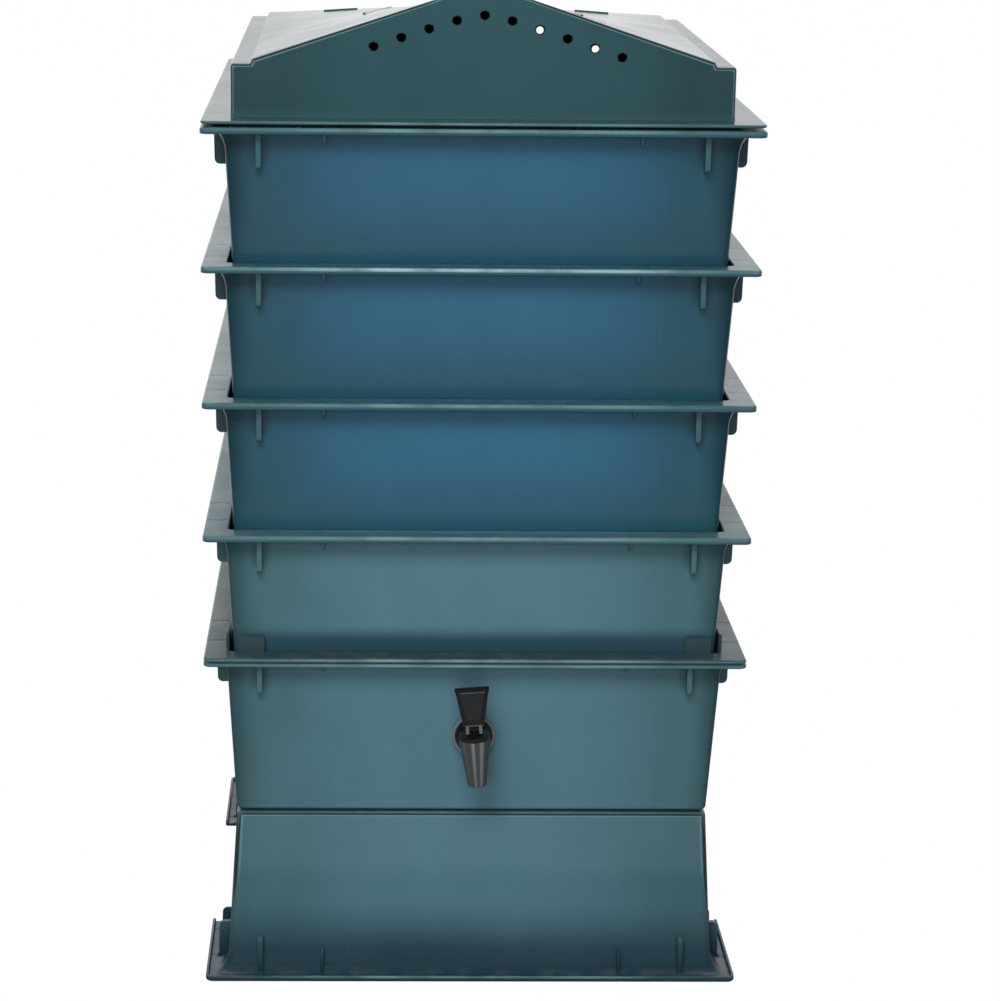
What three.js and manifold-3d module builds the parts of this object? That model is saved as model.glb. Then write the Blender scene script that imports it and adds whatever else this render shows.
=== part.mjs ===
// Stacking wormery: base stand, collector tub with a lever tap, four worm trays and a vented lid.
// Millimetres, +Z up. The origin is on the floor, under the middle of the whole outline.

import * as THREE from "three";
import { mergeVertices } from "three/addons/utils/BufferGeometryUtils.js";
import Module from "manifold-3d";

const wasm = await Module();
wasm.setup();

// Tub form, shared by the trays, the collector and the upturned base
const flangeHalf = 210; // half the width over the flange
const flangeReach = 16.5; // the flange, out from the walls
const wallDraft = 7.5; // the walls lean in by this much, down to the floor
const rimHalf = flangeHalf - flangeReach; // half the width over the walls, under the flange
const footHalf = rimHalf - wallDraft; // half the width over the walls, at the floor
const tubHeight = 133.5;
const wall = 2.5;
const plate = 2.5; // thickness of the flange
const lipThickness = 2.5;
const trayLip = 5; // height of a tray's turned-down edge
const collectorLip = 7;
const coveShelf = 3; // flat strip under the flange, between the cove and the lip
const cove = flangeReach - lipThickness - coveShelf; // hollow round between the wall and the flange
const coveDrop = 20; // height of the hollow round on the wall
const edgeRound = 1.2;
const footRound = 3;
const wallCorner = 6;
const flangeCorner = 5;
const innerCorner = 4;

// Ribs under the flange, on all four sides
const longRibInset = 26.5; // from the corner of the walls
const longRibPlace = rimHalf - longRibInset; // from the middle of a side
const longRibWidth = 4;
const longRibDrop = 33;
const shortRibInset = 75.5;
const shortRibPlace = rimHalf - shortRibInset;
const shortRibWidth = 2;
const shortRibDrop = 14;
const standShortRibDrop = 22;
const ribReach = 7.5; // out from the wall
const ribFlare = 3; // the rib widens where it meets the flange
const ribToe = 4; // round at the lower outer corner

// Stack
const trayCount = 4;
const trayNest = 29.2; // depth of a tray inside the one below
const lowestTrayNest = 35.3; // depth of the lowest tray inside the collector
const seatHeight = 2.2; // plateau on the base, under the collector
const seatInset = 20;
const restGap = 0.3;

// Fins inside a tub that carry the next tray
const finInset = 46; // from the corner of the walls
const finPlace = footHalf - finInset;
const finWidth = 3;
const finReach = 9;

// Slots in a tray's floor
const slotWidth = 6;
const slotPitch = 27;
const slotColumns = 3;
const slotColumnGap = 12;
const slotSideMargin = 21.5; // from the walls to the ends of the slots
const slotRowMargin = 18; // least margin from the walls to the first slot
const slotFieldWidth = 2 * (footHalf - wall - slotSideMargin);
const slotFieldDepth = 2 * (footHalf - wall - slotRowMargin);
const slotLength = (slotFieldWidth - (slotColumns - 1) * slotColumnGap) / slotColumns;
const slotRows = Math.floor((slotFieldDepth - slotWidth) / slotPitch) + 1;

// Tabs that stand up round the collector's mouth
const tabInset = 20; // from the corner of the walls to the middle of a tab
const tabPlace = rimHalf - tabInset;
const tabWidth = 20.7;
const tabHeight = 12.5;

// Openings between the feet of the base
const archWidth = 206;
const archTopWidth = 160;
const archHeight = 72;

// Lid
const lidFit = 3; // gap between the lid's box and the top tray's mouth
const lidHalf = rimHalf - wall - lidFit; // half the width and half the depth of the raised box
const lidFlangeInset = 0.5; // the lid's flange lies this far inside the top tray's
const lidFlangeHalf = flangeHalf - lidFlangeInset;
const lidSkirtDrop = 8; // the walls reach this far below the flange
const lidSeat = 2; // height of the pads that carry the lid on the top tray's flange
const lidPadWidth = 8;
const lidPadLength = 18;
const lidPadPlace = 95; // from the middle of the left or the right side
const shoulderHeight = 40;
const shoulderWidth = 14.5;
const stepHeight = 3.5;
const stepRun = 1.5;
const lidEdgeRound = 2.5;
const ridgeHeight = 92; // at the front
const backRidgeHeight = 50;
const ridgeHalf = 26;
const ridgeRound = 6;
const ventRadius = 3.5;
const ventPitch = 20.5;
const ventsLeft = 4;
const ventsRight = 5;
const ventDrop = 15; // the middle vent, below the front ridge
const backVentPitch = 16.5;
const backVentsFrom = 2; // none near the middle, where the back is low
const backVentsTo = 7;
const backVentDrop = 2.1;
const ventArcRound = 12;

// Tap on the collector
const tapDrop = 67.5; // its shank's axis, below the collector's flange
const tapTurn = -4; // degrees round the shank, as it was tightened
const padRadius = 16; // flat seat on the slanting wall, inside and outside
const padHeight = 1.5;
const shankRadius = 9;
const shankBore = 5.5;
const shankHoleClearance = 0.5;
const gasketRadius = 14;
const gasketThickness = 2;
const nutRadius = 15; // over the corners
const nutSides = 6;
const nutThickness = 7;
const shankTail = 3; // thread that shows past the nut
const discRadius = 16.8;
const discThickness = 3;
const barrelStandOff = 33; // barrel axis, out from the seat
const barrelTop = 9; // above the shank's axis
const barrelBand = 3; // straight band under its rim
const barrelBottom = 29; // below the shank's axis
const barrelRadius = 12;
const spoutRadius = 7.5;
const spoutWall = 2;
const chamberRadius = 8.7;
const seatDepth = 9; // valve seat, below the shank's axis
const outletRadius = 4.5;
const bonnetRadius = 11.8;
const bonnetPlate = 3.6;
const bonnetPlug = 2.6;
const plugWall = 2;
const stemRadius = 2.2;
const runningGap = 0.1;
const pinHeight = 16.5; // above the shank's axis
const pinRadius = 1.5;
const eyeHalf = 3.7;
const eyeRadius = 2.8;
const cupRadius = 6.5;
const cupHeight = 4;
const cupNeckRadius = 4;
const cupNeckHeight = 2.5;
const forkCheek = 2.4;
const forkGap = 0.2;
const leverBack = 3.5;
const leverLift = 3; // rise of the pin for each radian that the lever tilts
const leverTilt = 50; // degrees, fully open
const leverShoulder = 3.2; // solid part of the lever, above the pin
const paddleFoot = 4; // foot of the paddle, above the pin
const paddleTop = 33.5; // top of the paddle, above the pin
const paddleFootHalf = 8;
const paddleTopHalf = 13.2;
const paddleThickness = 4.5;
const ridgeBand = 2.5; // raised band along the top of the paddle
const ridgeProud = 1.2;

// Fineness of the round shapes
const cornerSteps = 2;
const coveSteps = 3;
const turnSides = 16;
const holeSides = 8;
const camSteps = 5;
const overrun = 1; // how far a cutter passes the surface that it cuts
const overlap = 1; // how far a rib or boss reaches into what carries it

const green = material(0x3c6a72, 0.42);
const deepBlueGreen = material(0x2f5a72, 0.42);
const lidGreen = material(0x2e5258, 0.38);
const blackPlastic = material(0x1c1d20, 0.35);
const greyPlastic = material(0x4a4b50, 0.3);
const rubber = material(0x121212, 0.8);
const silicone = material(0xc9ccc8, 0.6);
const steel = material(0xb4b6b8, 0.3, 1);

function material(color, roughness, metalness = 0) {
  return new THREE.MeshStandardMaterial({ color, roughness, metalness });
}

// A closed geometry becomes a solid; its faces are turned outward if they were listed the other way.
function solid(geometry) {
  const bare = geometry.clone();
  bare.deleteAttribute("normal");
  bare.deleteAttribute("uv");
  const merged = mergeVertices(bare);
  const position = merged.attributes.position;
  const corners = [0, 1, 2].map(() => new THREE.Vector3());
  const triangles = [];
  let volume = 0;
  for (let i = 0; i < merged.index.count; i += 3) {
    const [a, b, c] = [0, 1, 2].map((k) => merged.index.getX(i + k));
    if (a === b || b === c || c === a) {
      continue;
    }
    triangles.push(a, b, c);
    corners.forEach((corner, k) => corner.fromBufferAttribute(position, [a, b, c][k]));
    volume += corners[0].dot(corners[1].cross(corners[2]));
  }
  const triVerts = Uint32Array.from(volume < 0 ? triangles.reverse() : triangles);
  const vertProperties = new Float32Array(position.array);
  return new wasm.Manifold(new wasm.Mesh({ numProp: 3, vertProperties, triVerts }));
}

function meshOf(name, shape, look) {
  const { vertProperties, triVerts } = shape.getMesh();
  const geometry = new THREE.BufferGeometry();
  geometry.setAttribute("position", new THREE.BufferAttribute(vertProperties, 3));
  geometry.setIndex(new THREE.BufferAttribute(triVerts, 1));
  const mesh = new THREE.Mesh(geometry, look);
  mesh.name = name;
  return mesh;
}

function joined(shapes) {
  return shapes.reduce((whole, shape) => whole.add(shape));
}

function box(width, depth, height, x, y, z) {
  return solid(new THREE.BoxGeometry(width, depth, height).translate(x, y, z));
}

// A lathe-turned solid about the Z axis, from a profile of [radius, height] points.
function turned(profile, sides = turnSides) {
  const points = profile.map(([radius, height]) => new THREE.Vector2(radius, height));
  return solid(new THREE.LatheGeometry(points, sides).rotateX(Math.PI / 2));
}

function rod(radius, from, to, sides = turnSides) {
  return turned([[0, from], [radius, from], [radius, to], [0, to]], sides);
}

// The same rod along the Y axis: "from" and "to" are places on Y.
function crossRod(radius, from, to, sides = turnSides) {
  return rod(radius, -to, -from, sides).rotate([90, 0, 0]);
}

// An outline of [u, z] points, extruded across and centred on Y, with u along X.
function slab(outline, width) {
  const shape = new THREE.Shape(outline.map(([u, z]) => new THREE.Vector2(u, z)));
  const geometry = new THREE.ExtrudeGeometry(shape, { depth: width, bevelEnabled: false });
  return solid(geometry.rotateX(Math.PI / 2).translate(0, width / 2, 0));
}

function arc(centreX, centreY, radius, fromDegrees, toDegrees, steps) {
  return Array.from({ length: steps + 1 }, (_, step) => {
    const angle = THREE.MathUtils.degToRad(fromDegrees + ((toDegrees - fromDegrees) * step) / steps);
    return [centreX + radius * Math.cos(angle), centreY + radius * Math.sin(angle)];
  });
}

// A profile of [half width, height, corner radius] points, carried round a square with round corners.
// The profile starts and ends on the axis, or closes on itself.
function squareTurned(profile, closed = false) {
  const positions = [];
  const indices = [];
  const ringSize = 4 * (cornerSteps + 1);
  const rings = profile.map(([half, z, corner]) => {
    const first = positions.length / 3;
    if (half === 0) {
      positions.push(0, 0, z);
      return () => first;
    }
    for (let quarter = 0; quarter < 4; quarter++) {
      const centreX = (half - corner) * (quarter % 3 === 0 ? 1 : -1);
      const centreY = (half - corner) * (quarter < 2 ? 1 : -1);
      const round = arc(centreX, centreY, corner, quarter * 90, quarter * 90 + 90, cornerSteps);
      round.forEach(([x, y]) => positions.push(x, y, z));
    }
    return (j) => first + (j % ringSize);
  });
  const last = closed ? rings.length : rings.length - 1;
  for (let i = 0; i < last; i++) {
    const below = rings[i];
    const above = rings[(i + 1) % rings.length];
    for (let j = 0; j < ringSize; j++) {
      indices.push(below(j), below(j + 1), above(j + 1), below(j), above(j + 1), above(j));
    }
  }
  const geometry = new THREE.BufferGeometry();
  geometry.setAttribute("position", new THREE.Float32BufferAttribute(positions, 3));
  geometry.setIndex(indices);
  return solid(geometry);
}

function onFourSides(shape) {
  return joined([0, 90, 180, 270].map((turn) => shape.rotate([0, 0, turn])));
}

// Half the width over a tub's walls, this far below the top of its flange
function wallHalfAt(depth) {
  return rimHalf - ((rimHalf - footHalf) * depth) / tubHeight;
}

// Tub with a flange, its flange's top at z = 0
function tubShell(lip) {
  const floor = -tubHeight;
  const openHalf = rimHalf - wall;
  const lipInner = flangeHalf - lipThickness;
  const foot = arc(footHalf - footRound, floor + footRound, footRound, -90, 0, cornerSteps);
  const hollow = arc(0, 0, 1, 180, 90, coveSteps).map(([out, up]) => {
    const depth = plate + coveDrop * (1 - up);
    return [wallHalfAt(depth) + cove * (1 + out), -depth];
  });
  return squareTurned([
    [0, floor, 0],
    ...foot.map(([half, z], step) => [half, z, wallCorner - footRound * (1 - step / cornerSteps)]),
    ...hollow.map(([half, z]) => [half, z, wallCorner]),
    [lipInner, -plate, flangeCorner],
    [lipInner, -lip, flangeCorner],
    [flangeHalf, -lip, flangeCorner],
    [flangeHalf, -edgeRound, flangeCorner],
    [flangeHalf - edgeRound, 0, flangeCorner],
    [openHalf + edgeRound, 0, innerCorner + edgeRound],
    [openHalf, -edgeRound, innerCorner],
    [footHalf - wall, floor + wall, innerCorner],
    [0, floor + wall, 0],
  ]);
}

function rib(place, width, drop) {
  const outer = rimHalf + ribReach;
  const root = (depth) => wallHalfAt(depth) - wall / 2;
  const outline = [
    [root(plate / 2), -plate / 2],
    [outer + ribFlare, -plate / 2],
    [outer + ribFlare, -plate],
    [outer, -plate - ribFlare],
    ...arc(outer - ribToe, ribToe - drop, ribToe, 0, -90, cornerSteps),
    [root(drop), -drop],
  ];
  const one = slab(outline, width);
  return joined([one.translate([0, place, 0]), one.translate([0, -place, 0])]);
}

function ribbedTub(lip, shortDrop = shortRibDrop) {
  const ribs = joined([
    rib(longRibPlace, longRibWidth, longRibDrop),
    rib(shortRibPlace, shortRibWidth, shortDrop),
  ]);
  return tubShell(lip).add(onFourSides(ribs));
}

// Fins from the floor up to the foot of the tray that nests this deep
function fins(nest) {
  const top = -nest - restGap;
  const floor = -tubHeight + wall / 2;
  const inner = footHalf - wall - finReach;
  const outline = [
    [inner, floor],
    [footHalf - wall / 2, floor],
    [wallHalfAt(-top) - wall / 2, top],
    [inner, top],
  ];
  const one = slab(outline, finWidth);
  return onFourSides(joined([one.translate([0, finPlace, 0]), one.translate([0, -finPlace, 0])]));
}

function floorSlots() {
  const cutters = [];
  for (let column = 0; column < slotColumns; column++) {
    for (let row = 0; row < slotRows; row++) {
      const x = (column - (slotColumns - 1) / 2) * (slotLength + slotColumnGap);
      const y = (row - (slotRows - 1) / 2) * slotPitch;
      cutters.push(box(slotLength, slotWidth, wall + 2 * overrun, x, y, wall / 2 - tubHeight));
    }
  }
  return joined(cutters);
}

function tray() {
  return ribbedTub(trayLip).add(fins(trayNest)).subtract(floorSlots());
}

function collector() {
  const tab = box(wall, tabWidth, tabHeight + plate, rimHalf - wall / 2, 0, (tabHeight - plate) / 2);
  const pair = joined([tab.translate([0, tabPlace, 0]), tab.translate([0, -tabPlace, 0])]);
  const seatFace = wallHalfAt(tapDrop) + padHeight;
  const seatBack = wallHalfAt(tapDrop) - wall - padHeight;
  const pad = crossRod(padRadius, -seatFace, -seatBack).translate([0, 0, -tapDrop]);
  const holeRadius = shankRadius + shankHoleClearance;
  const hole = crossRod(holeRadius, -seatFace - overrun, -seatBack + overrun).translate([0, 0, -tapDrop]);
  return ribbedTub(collectorLip)
    .add(fins(lowestTrayNest))
    .add(onFourSides(pair))
    .add(pad)
    .subtract(hole);
}

// The base is the same tub, upside down, with its sides opened between the feet
function baseStand() {
  const seatHalf = footHalf - seatInset;
  const seat = squareTurned([
    [0, tubHeight - overlap, 0],
    [seatHalf, tubHeight - overlap, innerCorner],
    [seatHalf, tubHeight + seatHeight, innerCorner],
    [0, tubHeight + seatHeight, 0],
  ]);
  const outline = [
    [-archWidth / 2, -overrun],
    [archWidth / 2, -overrun],
    [archWidth / 2, trayLip],
    [archTopWidth / 2, archHeight],
    [-archTopWidth / 2, archHeight],
    [-archWidth / 2, trayLip],
  ];
  const arch = slab(outline, 2 * (flangeHalf + overrun)).rotate([0, 0, 90]);
  const upturned = ribbedTub(trayLip, standShortRibDrop).rotate([180, 0, 0]);
  return upturned.add(seat).subtract(arch);
}

// Lid

function shareBack(y) {
  return (y + lidHalf) / (2 * lidHalf);
}

function ridgeAt(y) {
  return ridgeHeight + (backRidgeHeight - ridgeHeight) * shareBack(y);
}

function roofSlopeAt(y) {
  const eaves = shoulderHeight + stepHeight;
  return (ridgeAt(y) - eaves) / (lidHalf - shoulderWidth - stepRun - ridgeHalf);
}

// Right half of the lid's section at y, from the foot of the wall up to the ridge
function lidHalfSection(y, inset) {
  const outer = lidHalf - inset;
  const shoulder = shoulderHeight - inset;
  const eaves = lidHalf - shoulderWidth - inset;
  const ridge = ridgeAt(y) - inset;
  const edge = arc(outer - lidEdgeRound, shoulder - lidEdgeRound, lidEdgeRound, 0, 90, cornerSteps);
  return [
    [outer, -plate - lidSkirtDrop],
    ...edge,
    [eaves, shoulder],
    [eaves - stepRun, shoulder + stepHeight],
    [ridgeHalf + ridgeRound, ridge - roofSlopeAt(y) * ridgeRound],
    [ridgeHalf - ridgeRound, ridge],
  ];
}

// Solid between the sections at the front and the back; both have the same number of points
function lidBlock(inset, drop) {
  const ends = [inset - lidHalf, lidHalf - inset];
  const sections = ends.map((y) => {
    const half = lidHalfSection(y, inset);
    half[0][1] -= drop;
    return [...half, ...half.map(([x, z]) => [-x, z]).reverse()];
  });
  const count = sections[0].length;
  const positions = sections.flatMap((section, end) => section.flatMap(([x, z]) => [x, ends[end], z]));
  const contour = sections[0].map(([x, z]) => new THREE.Vector2(x, z));
  const cap = THREE.ShapeUtils.triangulateShape(contour, []);
  const indices = cap.flatMap(([a, b, c]) => [a, b, c, count + a, count + c, count + b]);
  for (let i = 0; i < count; i++) {
    const next = (i + 1) % count;
    indices.push(i, count + next, next, i, count + i, count + next);
  }
  const geometry = new THREE.BufferGeometry();
  geometry.setAttribute("position", new THREE.Float32BufferAttribute(positions, 3));
  geometry.setIndex(indices);
  return solid(geometry);
}

// Vents follow the roof's slope, with a round top to their arc
function ventHeight(x, top) {
  return top - roofSlopeAt(-lidHalf) * (Math.hypot(x, ventArcRound) - ventArcRound);
}

function vents() {
  const cutters = [];
  const cut = (x, z, y) => {
    const from = y - wall - overrun;
    cutters.push(crossRod(ventRadius, from, from + 2 * (wall + overrun), holeSides).translate([x, 0, z]));
  };
  for (let i = -ventsLeft; i <= ventsRight; i++) {
    const x = i * ventPitch;
    cut(x, ventHeight(x, ridgeHeight - ventDrop), -lidHalf);
  }
  for (let i = backVentsFrom; i <= backVentsTo; i++) {
    const x = i * backVentPitch;
    const z = ventHeight(x, backRidgeHeight - backVentDrop);
    cut(x, z, lidHalf);
    cut(-x, z, lidHalf);
  }
  return joined(cutters);
}

// Low pads under the flange, two at the left and two at the right
function lidPads() {
  const flangeMiddle = (rimHalf + flangeHalf) / 2;
  const height = lidSeat + overlap;
  const pads = [];
  for (const x of [-flangeMiddle, flangeMiddle]) {
    for (const y of [-lidPadPlace, lidPadPlace]) {
      pads.push(box(lidPadWidth, lidPadLength, height, x, y, overlap - plate - height / 2));
    }
  }
  return joined(pads);
}

function lid() {
  const flange = squareTurned([
    [lidHalf - wall / 2, -plate, innerCorner],
    [lidFlangeHalf, -plate, flangeCorner],
    [lidFlangeHalf, -edgeRound, flangeCorner],
    [lidFlangeHalf - edgeRound, 0, flangeCorner],
    [lidHalf - wall / 2, 0, innerCorner],
  ], true);
  const shell = lidBlock(0, 0).subtract(lidBlock(wall, overrun));
  return shell.add(flange).add(lidPads()).subtract(vents());
}

// Tap, with the shank's axis along Y and its origin where that axis meets the outer seat

const clampedWall = 2 * padHeight + wall;
const discBack = -restGap - gasketThickness - restGap; // face of the disc that presses the gasket
const discFront = discBack - discThickness;
const innerGasketFrom = clampedWall + restGap;
const nutFrom = innerGasketFrom + gasketThickness + restGap;
const shankEnd = nutFrom + nutThickness + shankTail;
const bonnetFoot = barrelTop + restGap;
const bonnetTop = bonnetFoot + bonnetPlate;
const cupFoot = restGap - seatDepth;
const cupTop = cupFoot + cupHeight + cupNeckHeight;
const footDepth = pinHeight - bonnetTop - restGap; // the pin, above the lever's foot

function atBarrel(shape) {
  return shape.translate([0, -barrelStandOff, 0]);
}

function tapBody() {
  const barrel = atBarrel(turned([
    [0, -barrelBottom],
    [spoutRadius, -barrelBottom],
    [barrelRadius, barrelTop - barrelBand],
    [barrelRadius, barrelTop],
    [0, barrelTop],
  ]));
  const chamber = atBarrel(turned([
    [0, -seatDepth],
    [chamberRadius, -seatDepth],
    [chamberRadius, barrelTop + overrun],
    [0, barrelTop + overrun],
  ]));
  const outlet = atBarrel(turned([
    [0, -barrelBottom - overrun],
    [spoutRadius - spoutWall, -barrelBottom - overrun],
    [outletRadius, -seatDepth],
    [outletRadius, overrun - seatDepth],
    [0, overrun - seatDepth],
  ]));
  return crossRod(shankRadius, -barrelStandOff, shankEnd)
    .add(crossRod(discRadius, discFront, discBack))
    .add(barrel)
    .subtract(crossRod(shankBore, -barrelStandOff, shankEnd + overrun))
    .subtract(chamber)
    .subtract(outlet);
}

function gasket(from) {
  const hole = crossRod(shankRadius + restGap, from - overrun, from + gasketThickness + overrun);
  return crossRod(gasketRadius, from, from + gasketThickness).subtract(hole);
}

function tapNut() {
  const to = nutFrom + nutThickness;
  const hole = crossRod(shankRadius + restGap, nutFrom - overrun, to + overrun);
  return crossRod(nutRadius, nutFrom, to, nutSides).subtract(hole);
}

function tapBonnet() {
  const plugRadius = chamberRadius - restGap;
  return atBarrel(turned([
    [stemRadius + runningGap, bonnetFoot],
    [plugRadius - plugWall, bonnetFoot],
    [plugRadius - plugWall, bonnetFoot - bonnetPlug],
    [plugRadius, bonnetFoot - bonnetPlug],
    [plugRadius, bonnetFoot],
    [bonnetRadius, bonnetFoot],
    [bonnetRadius, bonnetTop],
    [stemRadius + runningGap, bonnetTop],
    [stemRadius + runningGap, bonnetFoot],
  ]));
}

function tapStem() {
  const shaft = rod(stemRadius, cupTop - cupNeckHeight, pinHeight);
  const eye = rod(eyeRadius, -eyeHalf, eyeHalf).rotate([0, 90, 0]).translate([0, 0, pinHeight]);
  const hole = rod(pinRadius + runningGap, -eyeHalf - overrun, eyeHalf + overrun)
    .rotate([0, 90, 0])
    .translate([0, 0, pinHeight]);
  return atBarrel(shaft.add(eye).subtract(hole));
}

function tapSeatCup() {
  const socket = rod(stemRadius + runningGap, cupFoot + cupHeight - restGap, cupTop + overrun);
  const cup = turned([
    [0, cupFoot],
    [cupRadius, cupFoot],
    [cupRadius, cupFoot + cupHeight / 2],
    [cupNeckRadius, cupFoot + cupHeight],
    [cupNeckRadius, cupTop],
    [0, cupTop],
  ]);
  return atBarrel(cup.subtract(socket));
}

function tapPin() {
  const half = eyeHalf + forkGap + forkCheek;
  return atBarrel(rod(pinRadius, -half, half).rotate([0, 90, 0]).translate([0, 0, pinHeight]));
}

// Fork, with a foot that keeps the same clearance over the bonnet while it lifts the pin
function tapLever() {
  const cam = Array.from({ length: camSteps + 1 }, (_, step) => {
    const tilt = THREE.MathUtils.degToRad((leverTilt * step) / camSteps);
    const reach = footDepth + leverLift * tilt;
    return [
      -reach * Math.sin(tilt) - leverLift * Math.cos(tilt),
      -reach * Math.cos(tilt) + leverLift * Math.sin(tilt),
    ];
  });
  const half = eyeHalf + forkGap + forkCheek;
  const outline = [[leverBack, -footDepth], ...cam, [-paddleThickness / 2, paddleFoot], [leverBack, paddleFoot]];
  const fork = slab(outline, 2 * half).rotate([0, 0, 90]).mirror([1, 0, 0]);
  const slotHalf = eyeHalf + forkGap;
  const slotDepth = 4 * (footDepth + leverLift);
  const slotHeight = leverShoulder + footDepth + overrun;
  const slot = box(2 * slotHalf, slotDepth, slotHeight, 0, 0, leverShoulder - slotHeight / 2);
  const pinHole = rod(pinRadius + runningGap, -half - overrun, half + overrun).rotate([0, 90, 0]);
  const paddleOutline = [
    [-paddleFootHalf, paddleFoot - overlap],
    [paddleFootHalf, paddleFoot - overlap],
    [paddleTopHalf, paddleTop],
    [-paddleTopHalf, paddleTop],
  ];
  const paddle = slab(paddleOutline, paddleThickness);
  const bandDepth = paddleThickness / 2 + ridgeProud;
  const band = box(2 * paddleTopHalf, bandDepth, ridgeBand, 0, -bandDepth / 2, paddleTop - ridgeBand / 2);
  const lever = fork.add(paddle).add(band).subtract(slot).subtract(pinHole);
  return atBarrel(lever.translate([0, 0, pinHeight]));
}

// Assembly

const baseTop = tubHeight + seatHeight;
const collectorTop = baseTop + restGap + tubHeight;
const tapSeat = wallHalfAt(tapDrop) + padHeight;
const frontReach = Math.max(flangeHalf, tapSeat + barrelStandOff + barrelRadius);

const wormery = new THREE.Group();
wormery.position.y = (frontReach - flangeHalf) / 2;

function place(name, shape, look, height, group = wormery) {
  const mesh = meshOf(name, shape, look);
  mesh.position.z = height;
  group.add(mesh);
}

place("base_stand", baseStand(), green, 0);
place("collector", collector(), green, collectorTop);

const trayShape = tray();
let topOfStack = collectorTop + tubHeight - lowestTrayNest;
for (let number = trayCount; number >= 1; number--) {
  place(`tray_${number}`, trayShape, number === trayCount ? green : deepBlueGreen, topOfStack);
  topOfStack += number > 1 ? tubHeight - trayNest : 0;
}
place("lid", lid(), lidGreen, topOfStack + restGap + lidSeat + plate);

const tap = new THREE.Group();
tap.position.set(0, -tapSeat, collectorTop - tapDrop);
tap.rotation.y = THREE.MathUtils.degToRad(tapTurn);
wormery.add(tap);
place("tap_body", tapBody(), greyPlastic, 0, tap);
place("tap_outer_gasket", gasket(-restGap - gasketThickness), rubber, 0, tap);
place("tap_inner_gasket", gasket(innerGasketFrom), rubber, 0, tap);
place("tap_nut", tapNut(), blackPlastic, 0, tap);
place("tap_bonnet", tapBonnet(), blackPlastic, 0, tap);
place("tap_stem", tapStem(), blackPlastic, 0, tap);
place("tap_seat_cup", tapSeatCup(), silicone, 0, tap);
place("tap_pin", tapPin(), steel, 0, tap);
place("tap_lever", tapLever(), blackPlastic, 0, tap);

export default wormery;
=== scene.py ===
"""Looks of the stacking wormery: its tubs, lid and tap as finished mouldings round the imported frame.

Every length is in metres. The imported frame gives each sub-part's place; a tub's shape is measured
from the top of its flange, and the tap's from the point where its shank meets the collector's seat.
"""

import math

import bmesh
import bpy
from mathutils import Matrix, Vector


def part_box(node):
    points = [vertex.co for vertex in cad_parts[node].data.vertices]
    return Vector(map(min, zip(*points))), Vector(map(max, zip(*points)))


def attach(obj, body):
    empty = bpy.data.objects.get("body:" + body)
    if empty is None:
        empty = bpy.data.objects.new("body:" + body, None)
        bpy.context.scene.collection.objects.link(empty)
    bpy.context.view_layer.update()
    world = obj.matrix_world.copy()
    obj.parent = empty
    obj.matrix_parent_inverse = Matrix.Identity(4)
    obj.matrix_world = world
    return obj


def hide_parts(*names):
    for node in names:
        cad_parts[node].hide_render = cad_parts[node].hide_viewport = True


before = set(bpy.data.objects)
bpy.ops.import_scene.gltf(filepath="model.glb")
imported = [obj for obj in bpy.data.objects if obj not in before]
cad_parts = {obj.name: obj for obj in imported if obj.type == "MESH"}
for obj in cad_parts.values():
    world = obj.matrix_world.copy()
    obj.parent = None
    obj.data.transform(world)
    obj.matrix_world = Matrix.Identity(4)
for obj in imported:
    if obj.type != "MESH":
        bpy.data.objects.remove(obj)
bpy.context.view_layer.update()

# Camera, from the photograph's perspective
CAMERA_PLACE = Vector((-0.0904, -2.1167, 0.9434))
CAMERA_PITCH = math.radians(12.78)  # down
CAMERA_YAW = math.radians(1.13)  # towards +X
CAMERA_ROLL = math.radians(0.6)
CAMERA_LENS = 94.35  # on the 36 mm sensor
CAMERA_SHIFT_X = 0.0891
CAMERA_SHIFT_Y = -0.1423

# Tub form, shared by the trays, the collector and the upturned stand
FLANGE_REACH = 0.0165  # the flange, out from the walls
WALL_DRAFT = 0.0075  # the walls lean in by this much, down to the floor
WALL = 0.0025
PLATE = 0.0025  # thickness of the flange
TRAY_LIP = 0.005  # height of a tray's turned-down edge
COLLECTOR_LIP = 0.007
COVE_SHELF = 0.003
COVE_DROP = 0.020
WALL_CORNER = 0.006
FLANGE_CORNER = 0.005
INNER_CORNER = 0.004
EDGE_ROUND = 0.0012
LIP_ROUND = 0.0007
LIP_TOP_ROUND = 0.0019
GROOVE_DEPTH = 0.0008  # round the collector's lip
GROOVE_FROM = 0.0026  # below the top of the flange
GROOVE_TO = 0.0042
BEAD_ROUND = 0.0011
FOOT_ROUND = 0.003

# Ribs under the flange
LONG_RIB_INSET = 0.0265  # from the corner of the walls
LONG_RIB_WIDTH = 0.004
LONG_RIB_DROP = 0.033
SHORT_RIB_INSET = 0.0755
SHORT_RIB_WIDTH = 0.002
SHORT_RIB_DROP = 0.014
STAND_SHORT_RIB_DROP = 0.022
RIB_REACH = 0.0075
RIB_FLARE = 0.003
RIB_TOE = 0.004
RIB_EDGE = 0.0005

# Fins inside a tub, and the slots in a tray's floor
REST_GAP = 0.0003
FIN_INSET = 0.046
FIN_WIDTH = 0.003
FIN_REACH = 0.009
FIN_EDGE = 0.0006
SLOT_WIDTH = 0.006
SLOT_LENGTH = 0.100
SLOT_PITCH = 0.027
SLOT_COLUMNS = 3
SLOT_ROWS = 13
SLOT_COLUMN_GAP = 0.012

# Collector
TAB_INSET = 0.020
TAB_WIDTH = 0.0207
TAB_HEIGHT = 0.0125
TAB_CORNER = 0.002

# Stand
SEAT_INSET = 0.020
ARCH_WIDTH = 0.206
ARCH_TOP_WIDTH = 0.160
ARCH_HEIGHT = 0.072
ARCH_ROUND = 0.010

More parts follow.
